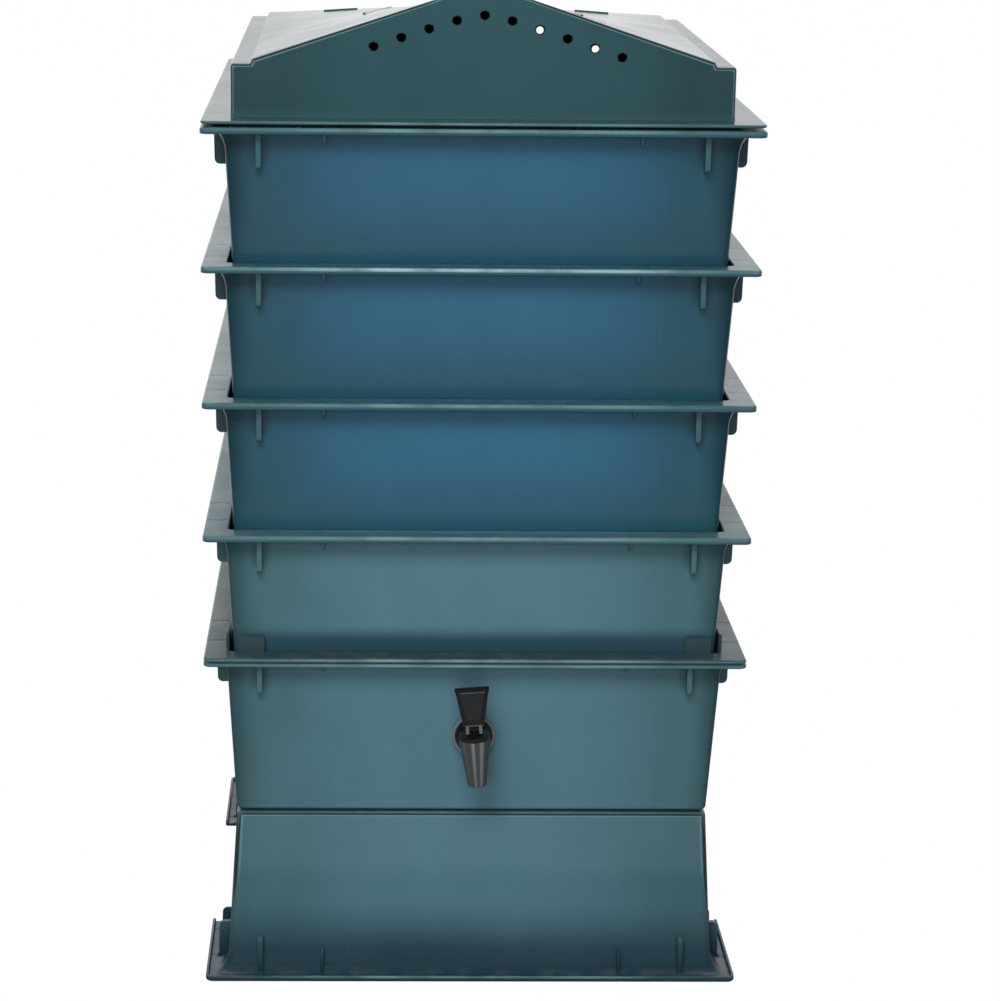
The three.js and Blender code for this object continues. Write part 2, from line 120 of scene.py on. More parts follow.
# Lid
LID_FIT = 0.003
LID_SKIRT_DROP = 0.008
LID_SEAT = 0.002
LID_PAD_WIDTH = 0.008
LID_PAD_LENGTH = 0.018
LID_PAD_PLACE = 0.095
SHOULDER_HEIGHT = 0.040
SHOULDER_WIDTH = 0.0145
STEP_HEIGHT = 0.0035
STEP_RUN = 0.0015
LID_EDGE_ROUND = 0.0026
LID_COVE = 0.0015
RIDGE_HEIGHT = 0.092
BACK_RIDGE_HEIGHT = 0.050
RIDGE_HALF = 0.026
RIDGE_ROUND = 0.006
VENT_RADIUS = 0.0033
VENT_CHAMFER = 0.0006
VENT_PITCH = 0.0205
VENTS_LEFT = 4
VENTS_RIGHT = 5
VENT_DROP = 0.015
VENT_ARC_ROUND = 0.012
BACK_VENT_PITCH = 0.0165
BACK_VENTS_FROM = 2
BACK_VENTS_TO = 7
BACK_VENT_DROP = 0.0021
ROOF_RIB_WIDTH = 0.0025
ROOF_RIB_HEIGHT = 0.0012
ROOF_RIBS = (  # both ends of the low ribs on the right half of the roof, as (x, y)
    ((0.0660, 0.1650), (0.0890, 0.0200)),
    ((0.0950, 0.1710), (0.1240, 0.1650)),
)

# Tap
TAP_TURN = math.radians(-4)
PAD_RADIUS = 0.016
PAD_HEIGHT = 0.0015
SHANK_RADIUS = 0.009
SHANK_BORE = 0.0055
SHANK_HOLE_CLEARANCE = 0.0005
GASKET_RADIUS = 0.014
GASKET_THICKNESS = 0.002
NUT_RADIUS = 0.015
NUT_THICKNESS = 0.007
SHANK_TAIL = 0.003
THREAD_PITCH = 0.002
THREAD_DEPTH = 0.0006
DISC_RADIUS = 0.0168
DISC_THICKNESS = 0.003
DISC_RIM = 0.0022
DISC_DISH = 0.0012
BARREL_STAND_OFF = 0.033
BARREL_TOP = 0.009
BARREL_BAND = 0.003
BARREL_BOTTOM = 0.029
BARREL_RADIUS = 0.012
SPOUT_RADIUS = 0.0075
SPOUT_WALL = 0.002
CHAMBER_RADIUS = 0.0087
SEAT_DEPTH = 0.009
OUTLET_RADIUS = 0.0045
BONNET_RADIUS = 0.0118
BONNET_PLATE = 0.0036
BONNET_PLUG = 0.0026
PLUG_WALL = 0.002
STEM_RADIUS = 0.0022
RUNNING_GAP = 0.0001
PIN_HEIGHT = 0.0165
PIN_RADIUS = 0.0015
EYE_HALF = 0.0037
EYE_RADIUS = 0.0028
CUP_RADIUS = 0.0065
CUP_HEIGHT = 0.004
CUP_NECK_RADIUS = 0.004
CUP_NECK_HEIGHT = 0.0025
FORK_CHEEK = 0.0024
FORK_GAP = 0.0002
LEVER_BACK = 0.0035
LEVER_LIFT = 0.003
LEVER_TILT = math.radians(50)
LEVER_SHOULDER = 0.0032
PADDLE_FOOT = 0.004
PADDLE_TOP = 0.0335
PADDLE_FOOT_HALF = 0.008
PADDLE_TOP_HALF = 0.0132
PADDLE_THICKNESS = 0.0045
PADDLE_EDGE = 0.0008
PANEL_BORDER = 0.0026
PANEL_DEPTH = 0.0009
BAND_HEIGHT = 0.0025
BAND_PROUD = 0.0012

# Fineness of the round shapes
CORNER_STEPS = 6
CAM_STEPS = 10
ROOF_STEPS = 8
ROOF_STATIONS = 20
COVE_STEPS = 10
EDGE_STEPS = 3
TURN_SIDES = 48
HOLE_SIDES = 24
OVERRUN = 0.001
SMOOTH_ANGLE = math.radians(32)
ROUND_PROFILE = 0.5  # of a bevel
QUARTER_TURN = math.pi / 2
RIDGE_POINTS = EDGE_STEPS + 2
RIM_ANGLES = [QUARTER_TURN * step / EDGE_STEPS for step in range(EDGE_STEPS + 1)]


# Mesh shapes


def arc(centre_u, centre_v, radius_u, radius_v, start, end, steps):
    """Points of an arc of an ellipse, from start to end in degrees."""
    points = []
    for step in range(steps + 1):
        angle = math.radians(start + (end - start) * step / steps)
        points.append((centre_u + radius_u * math.cos(angle), centre_v + radius_v * math.sin(angle)))
    return points


def quarter(u, v, radius, start, end, steps=EDGE_STEPS):
    """The corner at (u, v) rounded off: a quarter circle from start to end in degrees."""
    middle = math.radians((start + end) / 2)
    centre_u = u - math.copysign(radius, math.cos(middle))
    centre_v = v - math.copysign(radius, math.sin(middle))
    return arc(centre_u, centre_v, radius, radius, start, end, steps)


def mesh_from(bm):
    """The mesh that bm has built, its normals turned outward."""
    bmesh.ops.recalc_face_normals(bm, faces=bm.faces)
    mesh = bpy.data.meshes.new("shape")
    bm.to_mesh(mesh)
    bm.free()
    return mesh


def lofted(rings, closed=False, capped=False):
    """A skin over rings of points, the last joined to the first if closed, with both ends capped if asked.
    A ring of one point is a tip on the axis."""
    bm = bmesh.new()
    rings = [[bm.verts.new(point) for point in ring] for ring in rings]
    pairs = list(zip(rings, rings[1:]))
    if closed:
        pairs.append((rings[-1], rings[0]))
    for below, above in pairs:
        count = max(len(below), len(above))
        for i in range(count):
            j = (i + 1) % count
            corners = [ring[k % len(ring)] for ring, k in ((below, i), (below, j), (above, j), (above, i))]
            bm.faces.new(list(dict.fromkeys(corners)))
    if capped:
        bm.faces.new(rings[0])
        bm.faces.new(list(reversed(rings[-1])))
    return mesh_from(bm)


def square_turned(profile, closed=False):
    """A profile of (half width, height, corner radius), carried round a square with round corners."""
    rings = []
    for half, z, corner in profile:
        ring = []
        for turn in (0, 90, 180, 270):
            centre_x = (half - corner) * (1 if turn in (0, 270) else -1)
            centre_y = (half - corner) * (1 if turn < 180 else -1)
            ring += arc(centre_x, centre_y, corner, corner, turn, turn + 90, CORNER_STEPS)
        rings.append([(x, y, z) for x, y in ring] if half else [(0, 0, z)])
    return lofted(rings, closed)


def turned(profile, sides=TURN_SIDES, closed=False):
    """A profile of (radius, height) about the Z axis."""
    rings = []
    for radius, z in profile:
        angles = [2 * math.pi * (i + 0.5) / sides for i in range(sides if radius else 1)]
        rings.append([(radius * math.cos(angle), radius * math.sin(angle), z) for angle in angles])
    return lofted(rings, closed)


def round_ends(radius, low, high, edge):
    return [*quarter(radius, low, edge, -90, 0), *quarter(radius, high, edge, 0, 90)]


def rounded_rod(radius, low, high, edge):
    return turned([(0, low), *round_ends(radius, low, high, edge), (0, high)])


def rod(radius, low, high, sides=TURN_SIDES):
    return turned([(0, low), (radius, low), (radius, high), (0, high)], sides)


def slab(outline, width, edge=0):
    """An outline of (x, z) points, extruded across and centred on Y, with its edges rounded by edge."""
    bm = bmesh.new()
    near = [bm.verts.new((x, -width / 2, z)) for x, z in outline]
    far = [bm.verts.new((x, width / 2, z)) for x, z in outline]
    bm.faces.new(near)
    bm.faces.new(list(reversed(far)))
    count = len(outline)
    for i in range(count):
        j = (i + 1) % count
        bm.faces.new((near[i], far[i], far[j], near[j]))
    if edge:
        rims = [e for e in bm.edges if len({v.co.y > 0 for v in e.verts}) == 1]
        bmesh.ops.bevel(
            bm, geom=rims, offset=edge, segments=EDGE_STEPS, profile=ROUND_PROFILE, affect="EDGES",
            clamp_overlap=True,
        )
    return mesh_from(bm)


def moved(mesh, matrix):
    mesh.transform(matrix)
    return mesh


def tapered(foot_half, foot, top_half, top, depth, edge=0):
    """A slab that tapers from its foot to its top."""
    outline = [(-foot_half, foot), (foot_half, foot), (top_half, top), (-top_half, top)]
    return slab(outline, depth, edge)


def shifted(mesh, x, y, z):
    return moved(mesh, Matrix.Translation((x, y, z)))


def box(width, depth, height, place, edge=0):
    """A block with its middle at place."""
    return shifted(tapered(width / 2, -height / 2, width / 2, height / 2, depth, edge), *place)


def quarter_turned(mesh, axis, turns=1):
    return moved(mesh, Matrix.Rotation(QUARTER_TURN * turns, 4, axis))


def turned_to_y(mesh):
    """Turns a shape about Z into one about Y, its heights growing towards +Y."""
    return quarter_turned(mesh, "X", -1)


def gathered(meshes):
    """Several shapes that don't touch each other, as one mesh."""
    bm = bmesh.new()
    for mesh in meshes:
        bm.from_mesh(mesh)
    gathered_mesh = bpy.data.meshes.new("shape")
    bm.to_mesh(gathered_mesh)
    bm.free()
    return gathered_mesh


def on_four_sides(mesh):
    return gathered([quarter_turned(mesh.copy(), "Z", turns) for turns in range(4)])


def on_both_ends(mesh, place):
    """Two copies of a shape, at +place and -place along Y."""
    return gathered([shifted(mesh.copy(), 0, side * place, 0) for side in (1, -1)])


def added(name, data):
    """A new object of the scene, of this data."""
    obj = bpy.data.objects.new(name, data)
    bpy.context.scene.collection.objects.link(obj)
    return obj


def combined(mesh, operation, *others):
    """mesh joined with, or cut by, each of the others in turn."""
    carrier = added("carrier", mesh)
    operands = [added("operand", other) for other in others]
    for operand in operands:
        modifier = carrier.modifiers.new("combine", "BOOLEAN")
        modifier.operation = operation
        modifier.solver = "MANIFOLD"
        modifier.object = operand
    bpy.context.view_layer.update()
    evaluated = carrier.evaluated_get(bpy.context.evaluated_depsgraph_get())
    result = bpy.data.meshes.new_from_object(evaluated)
    for thing in [carrier, *operands]:
        bpy.data.objects.remove(thing)
    return result


def united(mesh, *others):
    return combined(mesh, "UNION", *others)


def cut(mesh, *others):
    return combined(mesh, "DIFFERENCE", *others)


def piece(name, mesh, material, body, node, place):
    """A finished piece: smooth where it is round, riding on its body in the place of its CAD node."""
    mesh.name = name
    mesh.materials.clear()
    mesh.materials.append(material)
    mesh.shade_smooth()
    mesh.set_sharp_from_angle(angle=SMOOTH_ANGLE)
    obj = added(name, mesh)
    obj.matrix_world = place
    weighted = obj.modifiers.new("even_normals", "WEIGHTED_NORMAL")
    weighted.keep_sharp = True
    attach(obj, body)
    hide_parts(node)


# Places that the frame gives

tray_low, tray_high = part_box("tray_1")
lid_low, lid_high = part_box("lid")
gasket_low, gasket_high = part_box("tap_outer_gasket")

FLANGE_HALF = (tray_high.x - tray_low.x) / 2
TUB_HEIGHT = tray_high.z - tray_low.z
RIM_HALF = FLANGE_HALF - FLANGE_REACH
LONG_RIB_PLACE = RIM_HALF - LONG_RIB_INSET
SHORT_RIB_PLACE = RIM_HALF - SHORT_RIB_INSET
FOOT_HALF = RIM_HALF - WALL_DRAFT
LIP_INNER = FLANGE_HALF - WALL
CENTRE_Y = (tray_low.y + tray_high.y) / 2
SEAT_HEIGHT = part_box("base_stand")[1].z - TUB_HEIGHT
COLLECTOR_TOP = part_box("collector")[0].z + TUB_HEIGHT
TRAY_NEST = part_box("tray_2")[1].z - tray_low.z
LOWEST_TRAY_NEST = COLLECTOR_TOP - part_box("tray_4")[0].z
LID_HALF = RIM_HALF - WALL - LID_FIT
LID_FLANGE_HALF = (lid_high.x - lid_low.x) / 2
LID_TOP = lid_high.z - RIDGE_HEIGHT
GASKET_MIDDLE = (gasket_low + gasket_high) / 2
TAP_SEAT = Vector((GASKET_MIDDLE.x, gasket_high.y + REST_GAP, GASKET_MIDDLE.z))
TAP_PLACE = Matrix.Translation(TAP_SEAT) @ Matrix.Rotation(TAP_TURN, 4, "Y")
TAP_DROP = COLLECTOR_TOP - TAP_SEAT.z


def stack_place(height):
    return Matrix.Translation((0, CENTRE_Y, height))


# Tubs


def wall_half_at(depth):
    return RIM_HALF - WALL_DRAFT * depth / TUB_HEIGHT


def tub_shell(lip):
    """Tub with a flange, from the middle of its underside up to its rim and down to its floor."""
    floor = -TUB_HEIGHT
    cove_start = wall_half_at(PLATE + COVE_DROP)
    cove_end = LIP_INNER - COVE_SHELF
    open_half = RIM_HALF - WALL
    foot = quarter(FOOT_HALF, floor, FOOT_ROUND, -90, 0, EDGE_STEPS + 1)
    hollow = arc(cove_end, -PLATE - COVE_DROP, cove_end - cove_start, COVE_DROP, 180, 90, COVE_STEPS)
    lip_foot = quarter(FLANGE_HALF, -lip, LIP_ROUND, -90, 0)
    outer_edge = quarter(FLANGE_HALF, 0, LIP_TOP_ROUND, 0, 90, EDGE_STEPS + 2)
    groove = []
    if lip > TRAY_LIP:
        lip_foot = quarter(FLANGE_HALF, -lip, BEAD_ROUND, -90, 0, EDGE_STEPS + 1)
        groove = [
            (FLANGE_HALF, -GROOVE_TO - BEAD_ROUND / 4),
            (FLANGE_HALF - GROOVE_DEPTH, -GROOVE_TO),
            (FLANGE_HALF - GROOVE_DEPTH, -GROOVE_FROM),
        ]
    inner_edge = quarter(open_half, 0, EDGE_ROUND, 90, 180)
    inner_foot_half = FOOT_HALF - WALL
    inner_foot = quarter(inner_foot_half, floor + WALL, FOOT_ROUND, 0, -90)
    return square_turned([
        (0, floor, 0),
        *[(half, z, WALL_CORNER - (FOOT_HALF - half)) for half, z in foot],
        *[(half, z, WALL_CORNER) for half, z in hollow],
        (LIP_INNER, -PLATE, FLANGE_CORNER - WALL / 2),
        (LIP_INNER, -lip + LIP_ROUND, FLANGE_CORNER - WALL / 2),
        (LIP_INNER + LIP_ROUND, -lip, FLANGE_CORNER - WALL / 2),
        *[(half, z, FLANGE_CORNER) for half, z in [*lip_foot, *groove, *outer_edge]],
        *[(half, z, INNER_CORNER + half - open_half) for half, z in inner_edge],
        *[(half, z, INNER_CORNER - (inner_foot_half - half)) for half, z in inner_foot],
        (0, floor + WALL, 0),
    ])


def rib(place, width, drop):
    """Ribs between the wall and the flange, at both places along one side."""
    outer = RIM_HALF + RIB_REACH
    outline = [
        (wall_half_at(0) - WALL / 2, -PLATE / 2),
        (outer + RIB_FLARE, -PLATE / 2),
        (outer + RIB_FLARE, -PLATE),
        *quarter(outer, -PLATE, RIB_FLARE, 90, 180),
        *quarter(outer, -drop, RIB_TOE, 0, -90, CORNER_STEPS),
        (wall_half_at(drop) - WALL / 2, -drop),
    ]
    return on_both_ends(slab(outline, width, RIB_EDGE), place)


def ribbed_tub(lip, short_drop=SHORT_RIB_DROP):
    long_ribs = rib(LONG_RIB_PLACE, LONG_RIB_WIDTH, LONG_RIB_DROP)
    short_ribs = rib(SHORT_RIB_PLACE, SHORT_RIB_WIDTH, short_drop)
    return united(tub_shell(lip), on_four_sides(gathered([long_ribs, short_ribs])))


def fins(nest):
    """Fins inside the walls, up to the foot of the tray that nests this deep."""
    top = -nest - REST_GAP
    floor = WALL / 2 - TUB_HEIGHT
    inner = FOOT_HALF - WALL - FIN_REACH
    outline = [
        (inner, floor),
        (FOOT_HALF - WALL / 2, floor),
        (wall_half_at(-top) - WALL / 2, top),
        *quarter(inner, top, FIN_WIDTH, 90, 180),
    ]
    return on_four_sides(on_both_ends(slab(outline, FIN_WIDTH, FIN_EDGE), FOOT_HALF - FIN_INSET))


def floor_slots():
    end = SLOT_WIDTH / 2
    straight = SLOT_LENGTH / 2 - end
    outline = [
        *arc(straight, 0, end, end, -90, 90, CORNER_STEPS),
        *arc(-straight, 0, end, end, 90, 270, CORNER_STEPS),
    ]
    one = quarter_turned(slab(outline, WALL + 2 * OVERRUN), "X")
    slots = []
    for column in range(SLOT_COLUMNS):
        for row in range(SLOT_ROWS):
            x = (column - (SLOT_COLUMNS - 1) / 2) * (SLOT_LENGTH + SLOT_COLUMN_GAP)
            y = (row - (SLOT_ROWS - 1) / 2) * SLOT_PITCH
            slots.append(shifted(one.copy(), x, y, WALL / 2 - TUB_HEIGHT))
    return gathered(slots)


def tray():
    return cut(united(ribbed_tub(TRAY_LIP), fins(TRAY_NEST)), floor_slots())


def tab():
    """A tab that stands on the collector's mouth, its upper corners rounded, facing +X."""
    half = TAB_WIDTH / 2
    outline = [
        (-half, -PLATE),
        (half, -PLATE),
        *quarter(half, TAB_HEIGHT, TAB_CORNER, 0, 90),
        *quarter(-half, TAB_HEIGHT, TAB_CORNER, 90, 180),
    ]
    return shifted(quarter_turned(slab(outline, WALL, RIB_EDGE), "Z"), RIM_HALF - WALL / 2, 0, 0)


def collector():
    """Tub with tabs round its mouth, and a thicker seat with a hole for the tap."""
    seat_face = wall_half_at(TAP_DROP) + PAD_HEIGHT
    seat_back = wall_half_at(TAP_DROP) - WALL - PAD_HEIGHT
    pad = turned_to_y(rounded_rod(PAD_RADIUS, -seat_face, -seat_back, RIB_EDGE))
    hole_radius = SHANK_RADIUS + SHANK_HOLE_CLEARANCE
    hole = turned_to_y(rod(hole_radius, -seat_face - OVERRUN, -seat_back + OVERRUN))
    for mesh in (pad, hole):
        shifted(mesh, 0, 0, -TAP_DROP)
    tabs = on_four_sides(on_both_ends(tab(), RIM_HALF - TAB_INSET))
    return cut(united(ribbed_tub(COLLECTOR_LIP), fins(LOWEST_TRAY_NEST), tabs, pad), hole)


def stand():
    """The same tub, upside down, with its sides opened between the feet."""
    seat_half = FOOT_HALF - SEAT_INSET
    seat_edge = quarter(seat_half, TUB_HEIGHT + SEAT_HEIGHT, EDGE_ROUND, 0, 90)
    seat = square_turned([
        (0, TUB_HEIGHT - OVERRUN, 0),
        (seat_half, TUB_HEIGHT - OVERRUN, INNER_CORNER),
        *[(half, z, INNER_CORNER) for half, z in seat_edge],
        (0, TUB_HEIGHT + SEAT_HEIGHT, 0),
    ])
    foot = ARCH_WIDTH / 2
    head = ARCH_TOP_WIDTH / 2
    lean = math.degrees(math.atan2(foot - head, ARCH_HEIGHT - TRAY_LIP))
    round_centre = head - ARCH_ROUND * math.tan(math.radians(45 - lean / 2))
    top_centre = ARCH_HEIGHT - ARCH_ROUND
    outline = [
        (-foot, -OVERRUN),
        (foot, -OVERRUN),
        (foot, TRAY_LIP),
        *arc(round_centre, top_centre, ARCH_ROUND, ARCH_ROUND, lean, 90, CORNER_STEPS),
        *arc(-round_centre, top_centre, ARCH_ROUND, ARCH_ROUND, 90, 180 - lean, CORNER_STEPS),
        (-foot, TRAY_LIP),
    ]
    arch = quarter_turned(slab(outline, 2 * (FLANGE_HALF + OVERRUN)), "Z")
    upturned = quarter_turned(ribbed_tub(TRAY_LIP, STAND_SHORT_RIB_DROP), "X", 2)
    return cut(united(upturned, seat), arch)


# Lid


def rounded(corners):
    """An open line through (u, v, reach) corners, each cut back by its reach and rounded."""
    line = [corners[0][:2]]
    for before, corner, after in zip(corners, corners[1:], corners[2:]):
        here = Vector(corner[:2])
        start = here + (Vector(before[:2]) - here).normalized() * corner[2]
        end = here + (Vector(after[:2]) - here).normalized() * corner[2]
        for step in range(EDGE_STEPS + 1):
            share = step / EDGE_STEPS
            point = start * (1 - share) ** 2 + here * 2 * share * (1 - share) + end * share**2
            line.append(tuple(point))
    line.append(corners[-1][:2])
    return line


def ridge_at(y):
    """Height of the ridge, which falls evenly from the front gable to the back."""
    share_back = (y + LID_HALF) / (2 * LID_HALF)
    return RIDGE_HEIGHT + (BACK_RIDGE_HEIGHT - RIDGE_HEIGHT) * share_back


def roof_slope_at(y):
    eaves = SHOULDER_HEIGHT + STEP_HEIGHT
    return (ridge_at(y) - eaves) / (LID_HALF - SHOULDER_WIDTH - STEP_RUN - RIDGE_HALF)


def lid_section(y, inset, foot, edge):
    """The lid's section at y, drawn in by inset: (x, z) from the right foot over the ridge to the left."""
    shoulder = SHOULDER_HEIGHT - inset
    eaves = LID_HALF - SHOULDER_WIDTH - inset
    roof_foot = shoulder + STEP_HEIGHT
    ridge = ridge_at(y) - inset
    lower = rounded([
        (LID_HALF - inset, foot, 0),
        (LID_HALF - inset, shoulder, edge),
        (eaves, shoulder, STEP_RUN / 2),
        (eaves - STEP_RUN, roof_foot, STEP_RUN / 2),
        (RIDGE_HALF, ridge, RIDGE_ROUND),
        (0, ridge, 0),
    ])
    top_of_step = Vector(lower[-RIDGE_POINTS - 1])
    start_of_ridge = Vector(lower[-RIDGE_POINTS])
    roof = [tuple(top_of_step.lerp(start_of_ridge, step / ROOF_STEPS)) for step in range(1, ROOF_STEPS)]
    half = [*lower[:-RIDGE_POINTS], *roof, *lower[-RIDGE_POINTS:-1]]
    return [*half, *[(-x, z) for x, z in reversed(half)]]


def lid_block(inset, foot, edge):
    """Solid between the front and the back of the lid, its rims rounded by edge."""
    reach = LID_HALF - inset
    rim = [(edge * (1 - math.cos(angle)), edge * (1 - math.sin(angle))) for angle in RIM_ANGLES]
    stations = [(depth - reach, drawn_in) for depth, drawn_in in rim]
    for step in range(1, ROOF_STATIONS):
        stations.append((edge - reach + 2 * (reach - edge) * step / ROOF_STATIONS, 0))
    stations += [(reach - depth, drawn_in) for depth, drawn_in in reversed(rim)]
    return lofted([
        [(x, y, z) for x, z in lid_section(y, inset + drawn_in, foot, edge)] for y, drawn_in in stations
    ], capped=True)


def lid_flange():
    """Flat flange with round edges, and the cove between it and the walls."""
    root = LID_HALF - WALL / 2
    middle = -PLATE / 2
    edge = arc(LID_FLANGE_HALF - PLATE / 2, middle, PLATE / 2, PLATE / 2, -90, 90, 2 * EDGE_STEPS)
    hollow = quarter(LID_HALF, 0, LID_COVE, 270, 180)
    return square_turned([
        (root, -PLATE, INNER_CORNER),
        *[(half, z, FLANGE_CORNER) for half, z in edge],
        *[(half, z, LID_EDGE_ROUND + half - LID_HALF) for half, z in hollow],
        (root, LID_COVE, LID_EDGE_ROUND),
    ], closed=True)


def roof_ribs():
    """Low moulded ribs on the roof, the same at the left and the right."""
    section = [(1, 0), (1 / 2, ROOF_RIB_HEIGHT), (-1 / 2, ROOF_RIB_HEIGHT), (-1, 0)]
    section = [(1, -WALL / 2), *section, (-1, -WALL / 2)]
    ribs = []
    for side in (-1, 1):
        for ends in ROOF_RIBS:
            start, end = (Vector((side * x, y)) for x, y in ends)
            across = (end - start).normalized().orthogonal() * ROOF_RIB_WIDTH / 2
            rings = []
            for x, y in (start, end):
                roof = ridge_at(y) - roof_slope_at(y) * (abs(x) - RIDGE_HALF)
                ring = [(x + part * across.x, y + part * across.y, roof + up) for part, up in section]
                rings.append(ring)
            ribs.append(lofted(rings, capped=True))
    return gathered(ribs)


def lid_pads():
    """Low pads under the flange that carry the lid, two at the left and two at the right."""
    foot = -PLATE - LID_SEAT
    height = LID_SEAT + PLATE / 2
    flange_middle = (RIM_HALF + FLANGE_HALF) / 2
    pads = []
    for side in (-1, 1):
        place = (side * flange_middle, 0, foot + height / 2)
        pads.append(on_both_ends(box(LID_PAD_WIDTH, LID_PAD_LENGTH, height, place), LID_PAD_PLACE))
    return gathered(pads)


def vent_height(x, top):
    """Height of a vent: the row follows the roof's slope, with a round top to its arc."""
    return top - roof_slope_at(-LID_HALF) * (math.hypot(x, VENT_ARC_ROUND) - VENT_ARC_ROUND)


def vents():
    flare = VENT_RADIUS + VENT_CHAMFER
    cutter = turned_to_y(turned([
        (0, -OVERRUN),
        (flare + OVERRUN, -OVERRUN),
        (VENT_RADIUS, VENT_CHAMFER),
        (VENT_RADIUS, WALL + OVERRUN),
        (0, WALL + OVERRUN),
    ], HOLE_SIDES))
    holes = []
    for i in range(-VENTS_LEFT, VENTS_RIGHT + 1):
        x = i * VENT_PITCH
        holes.append(shifted(cutter.copy(), x, -LID_HALF, vent_height(x, RIDGE_HEIGHT - VENT_DROP)))
    quarter_turned(cutter, "Z", 2)
    for i in range(BACK_VENTS_FROM, BACK_VENTS_TO + 1):
        for x in (-i * BACK_VENT_PITCH, i * BACK_VENT_PITCH):
            height = vent_height(x, BACK_RIDGE_HEIGHT - BACK_VENT_DROP)
            holes.append(shifted(cutter.copy(), x, LID_HALF, height))
    return gathered(holes)


def lid():
    outside = lid_block(0, -PLATE - LID_SKIRT_DROP, LID_EDGE_ROUND)
    hollow = lid_block(WALL, -PLATE - LID_SKIRT_DROP - OVERRUN, RIB_EDGE)
    return cut(united(cut(outside, hollow), lid_flange(), lid_pads(), roof_ribs()), vents())


# Tap, with the shank's axis along Y and the barrel's along Z

CLAMPED_WALL = 2 * PAD_HEIGHT + WALL
DISC_BACK = -REST_GAP - GASKET_THICKNESS - REST_GAP
DISC_FRONT = DISC_BACK - DISC_THICKNESS
INNER_GASKET_FROM = CLAMPED_WALL + REST_GAP
NUT_FROM = INNER_GASKET_FROM + GASKET_THICKNESS + REST_GAP
SHANK_END = NUT_FROM + NUT_THICKNESS + SHANK_TAIL
BONNET_FOOT = BARREL_TOP + REST_GAP
BONNET_TOP = BONNET_FOOT + BONNET_PLATE
CUP_FOOT = REST_GAP - SEAT_DEPTH
CUP_TOP = CUP_FOOT + CUP_HEIGHT + CUP_NECK_HEIGHT
FOOT_DEPTH = PIN_HEIGHT - BONNET_TOP - REST_GAP
FORK_HALF = EYE_HALF + FORK_GAP + FORK_CHEEK
PANEL_FOOT_HALF = PADDLE_FOOT_HALF - PANEL_BORDER
PANEL_TOP_HALF = PADDLE_TOP_HALF - PANEL_BORDER
PANEL_TOP = PADDLE_TOP - BAND_HEIGHT - PANEL_BORDER / 2
AT_BARREL = Matrix.Translation((0, -BARREL_STAND_OFF, 0))
AT_PIN = Matrix.Translation((0, -BARREL_STAND_OFF, PIN_HEIGHT))


def shank():
    """Shank with a thread of close rings on its inner end."""
    thread_start = CLAMPED_WALL
    profile = [(0, -BARREL_STAND_OFF), (SHANK_RADIUS, -BARREL_STAND_OFF), (SHANK_RADIUS, thread_start)]
    turns = int((SHANK_END - thread_start) / THREAD_PITCH)
    for turn in range(turns):
        root = thread_start + (turn + 1 / 2) * THREAD_PITCH
        profile.append((SHANK_RADIUS - THREAD_DEPTH, root))
        profile.append((SHANK_RADIUS, root + THREAD_PITCH / 2))
    profile += [(SHANK_RADIUS - THREAD_DEPTH, SHANK_END), (0, SHANK_END)]
    return turned_to_y(turned(profile))


def wall_disc():
    """Disc that presses the gasket, with a raised rim round its face."""
    dish = DISC_FRONT + DISC_DISH
    inner = DISC_RADIUS - DISC_RIM
    half_rim = DISC_RIM / 2
    rim = arc(DISC_RADIUS - half_rim, DISC_FRONT + half_rim, half_rim, half_rim, 180, 360, 2 * EDGE_STEPS)
    return turned_to_y(turned([(0, dish), (inner, dish), *rim, (DISC_RADIUS, DISC_BACK), (0, DISC_BACK)]))


def tap_body():
    """Shank, disc and barrel in one, bored through, with the chamber and the spout opened."""
    spout_rim = quarter(SPOUT_RADIUS, -BARREL_BOTTOM, SPOUT_WALL / 2, 270, 360)
    top_rim = quarter(BARREL_RADIUS, BARREL_TOP, RIB_EDGE, 0, 90)
    barrel = turned([
        (0, -BARREL_BOTTOM), *spout_rim, (BARREL_RADIUS, BARREL_TOP - BARREL_BAND), *top_rim, (0, BARREL_TOP)
    ])
    chamber = rod(CHAMBER_RADIUS, -SEAT_DEPTH, BARREL_TOP + OVERRUN)
    foot = -BARREL_BOTTOM - OVERRUN
    top = OVERRUN - SEAT_DEPTH
    outlet = turned([
        (0, foot),
        (SPOUT_RADIUS - SPOUT_WALL / 2, foot),
        (SPOUT_RADIUS - SPOUT_WALL, OVERRUN - BARREL_BOTTOM),
        (OUTLET_RADIUS, -SEAT_DEPTH),
        (OUTLET_RADIUS, top),
        (0, top),
    ])
    bore = turned_to_y(rod(SHANK_BORE, -BARREL_STAND_OFF, SHANK_END + OVERRUN))
    whole = united(shank(), wall_disc(), moved(barrel, AT_BARREL))
    return cut(whole, bore, moved(chamber, AT_BARREL), moved(outlet, AT_BARREL))


def gasket(start):
    end = start + GASKET_THICKNESS
    hole_radius = SHANK_RADIUS + REST_GAP
    outer = round_ends(GASKET_RADIUS, start, end, GASKET_THICKNESS / 4)
    return turned_to_y(turned([(hole_radius, start), *outer, (hole_radius, end)], closed=True))


def tap_nut():
    """Hexagon nut, its corners turned off by cones at both faces."""
    end = NUT_FROM + NUT_THICKNESS
    chamfer = NUT_RADIUS * (1 - math.cos(math.pi / 6))
    hexagon = turned_to_y(rod(NUT_RADIUS, NUT_FROM, end, sides=6))
    rounding = turned_to_y(turned([
        (0, NUT_FROM),
        (NUT_RADIUS - chamfer, NUT_FROM),
        (NUT_RADIUS, NUT_FROM + chamfer / 2),
        (NUT_RADIUS, end - chamfer / 2),
        (NUT_RADIUS - chamfer, end),
        (0, end),
    ]))
    hole = turned_to_y(rod(SHANK_RADIUS + REST_GAP, NUT_FROM - OVERRUN, end + OVERRUN))
    return cut(combined(hexagon, "INTERSECT", rounding), hole)


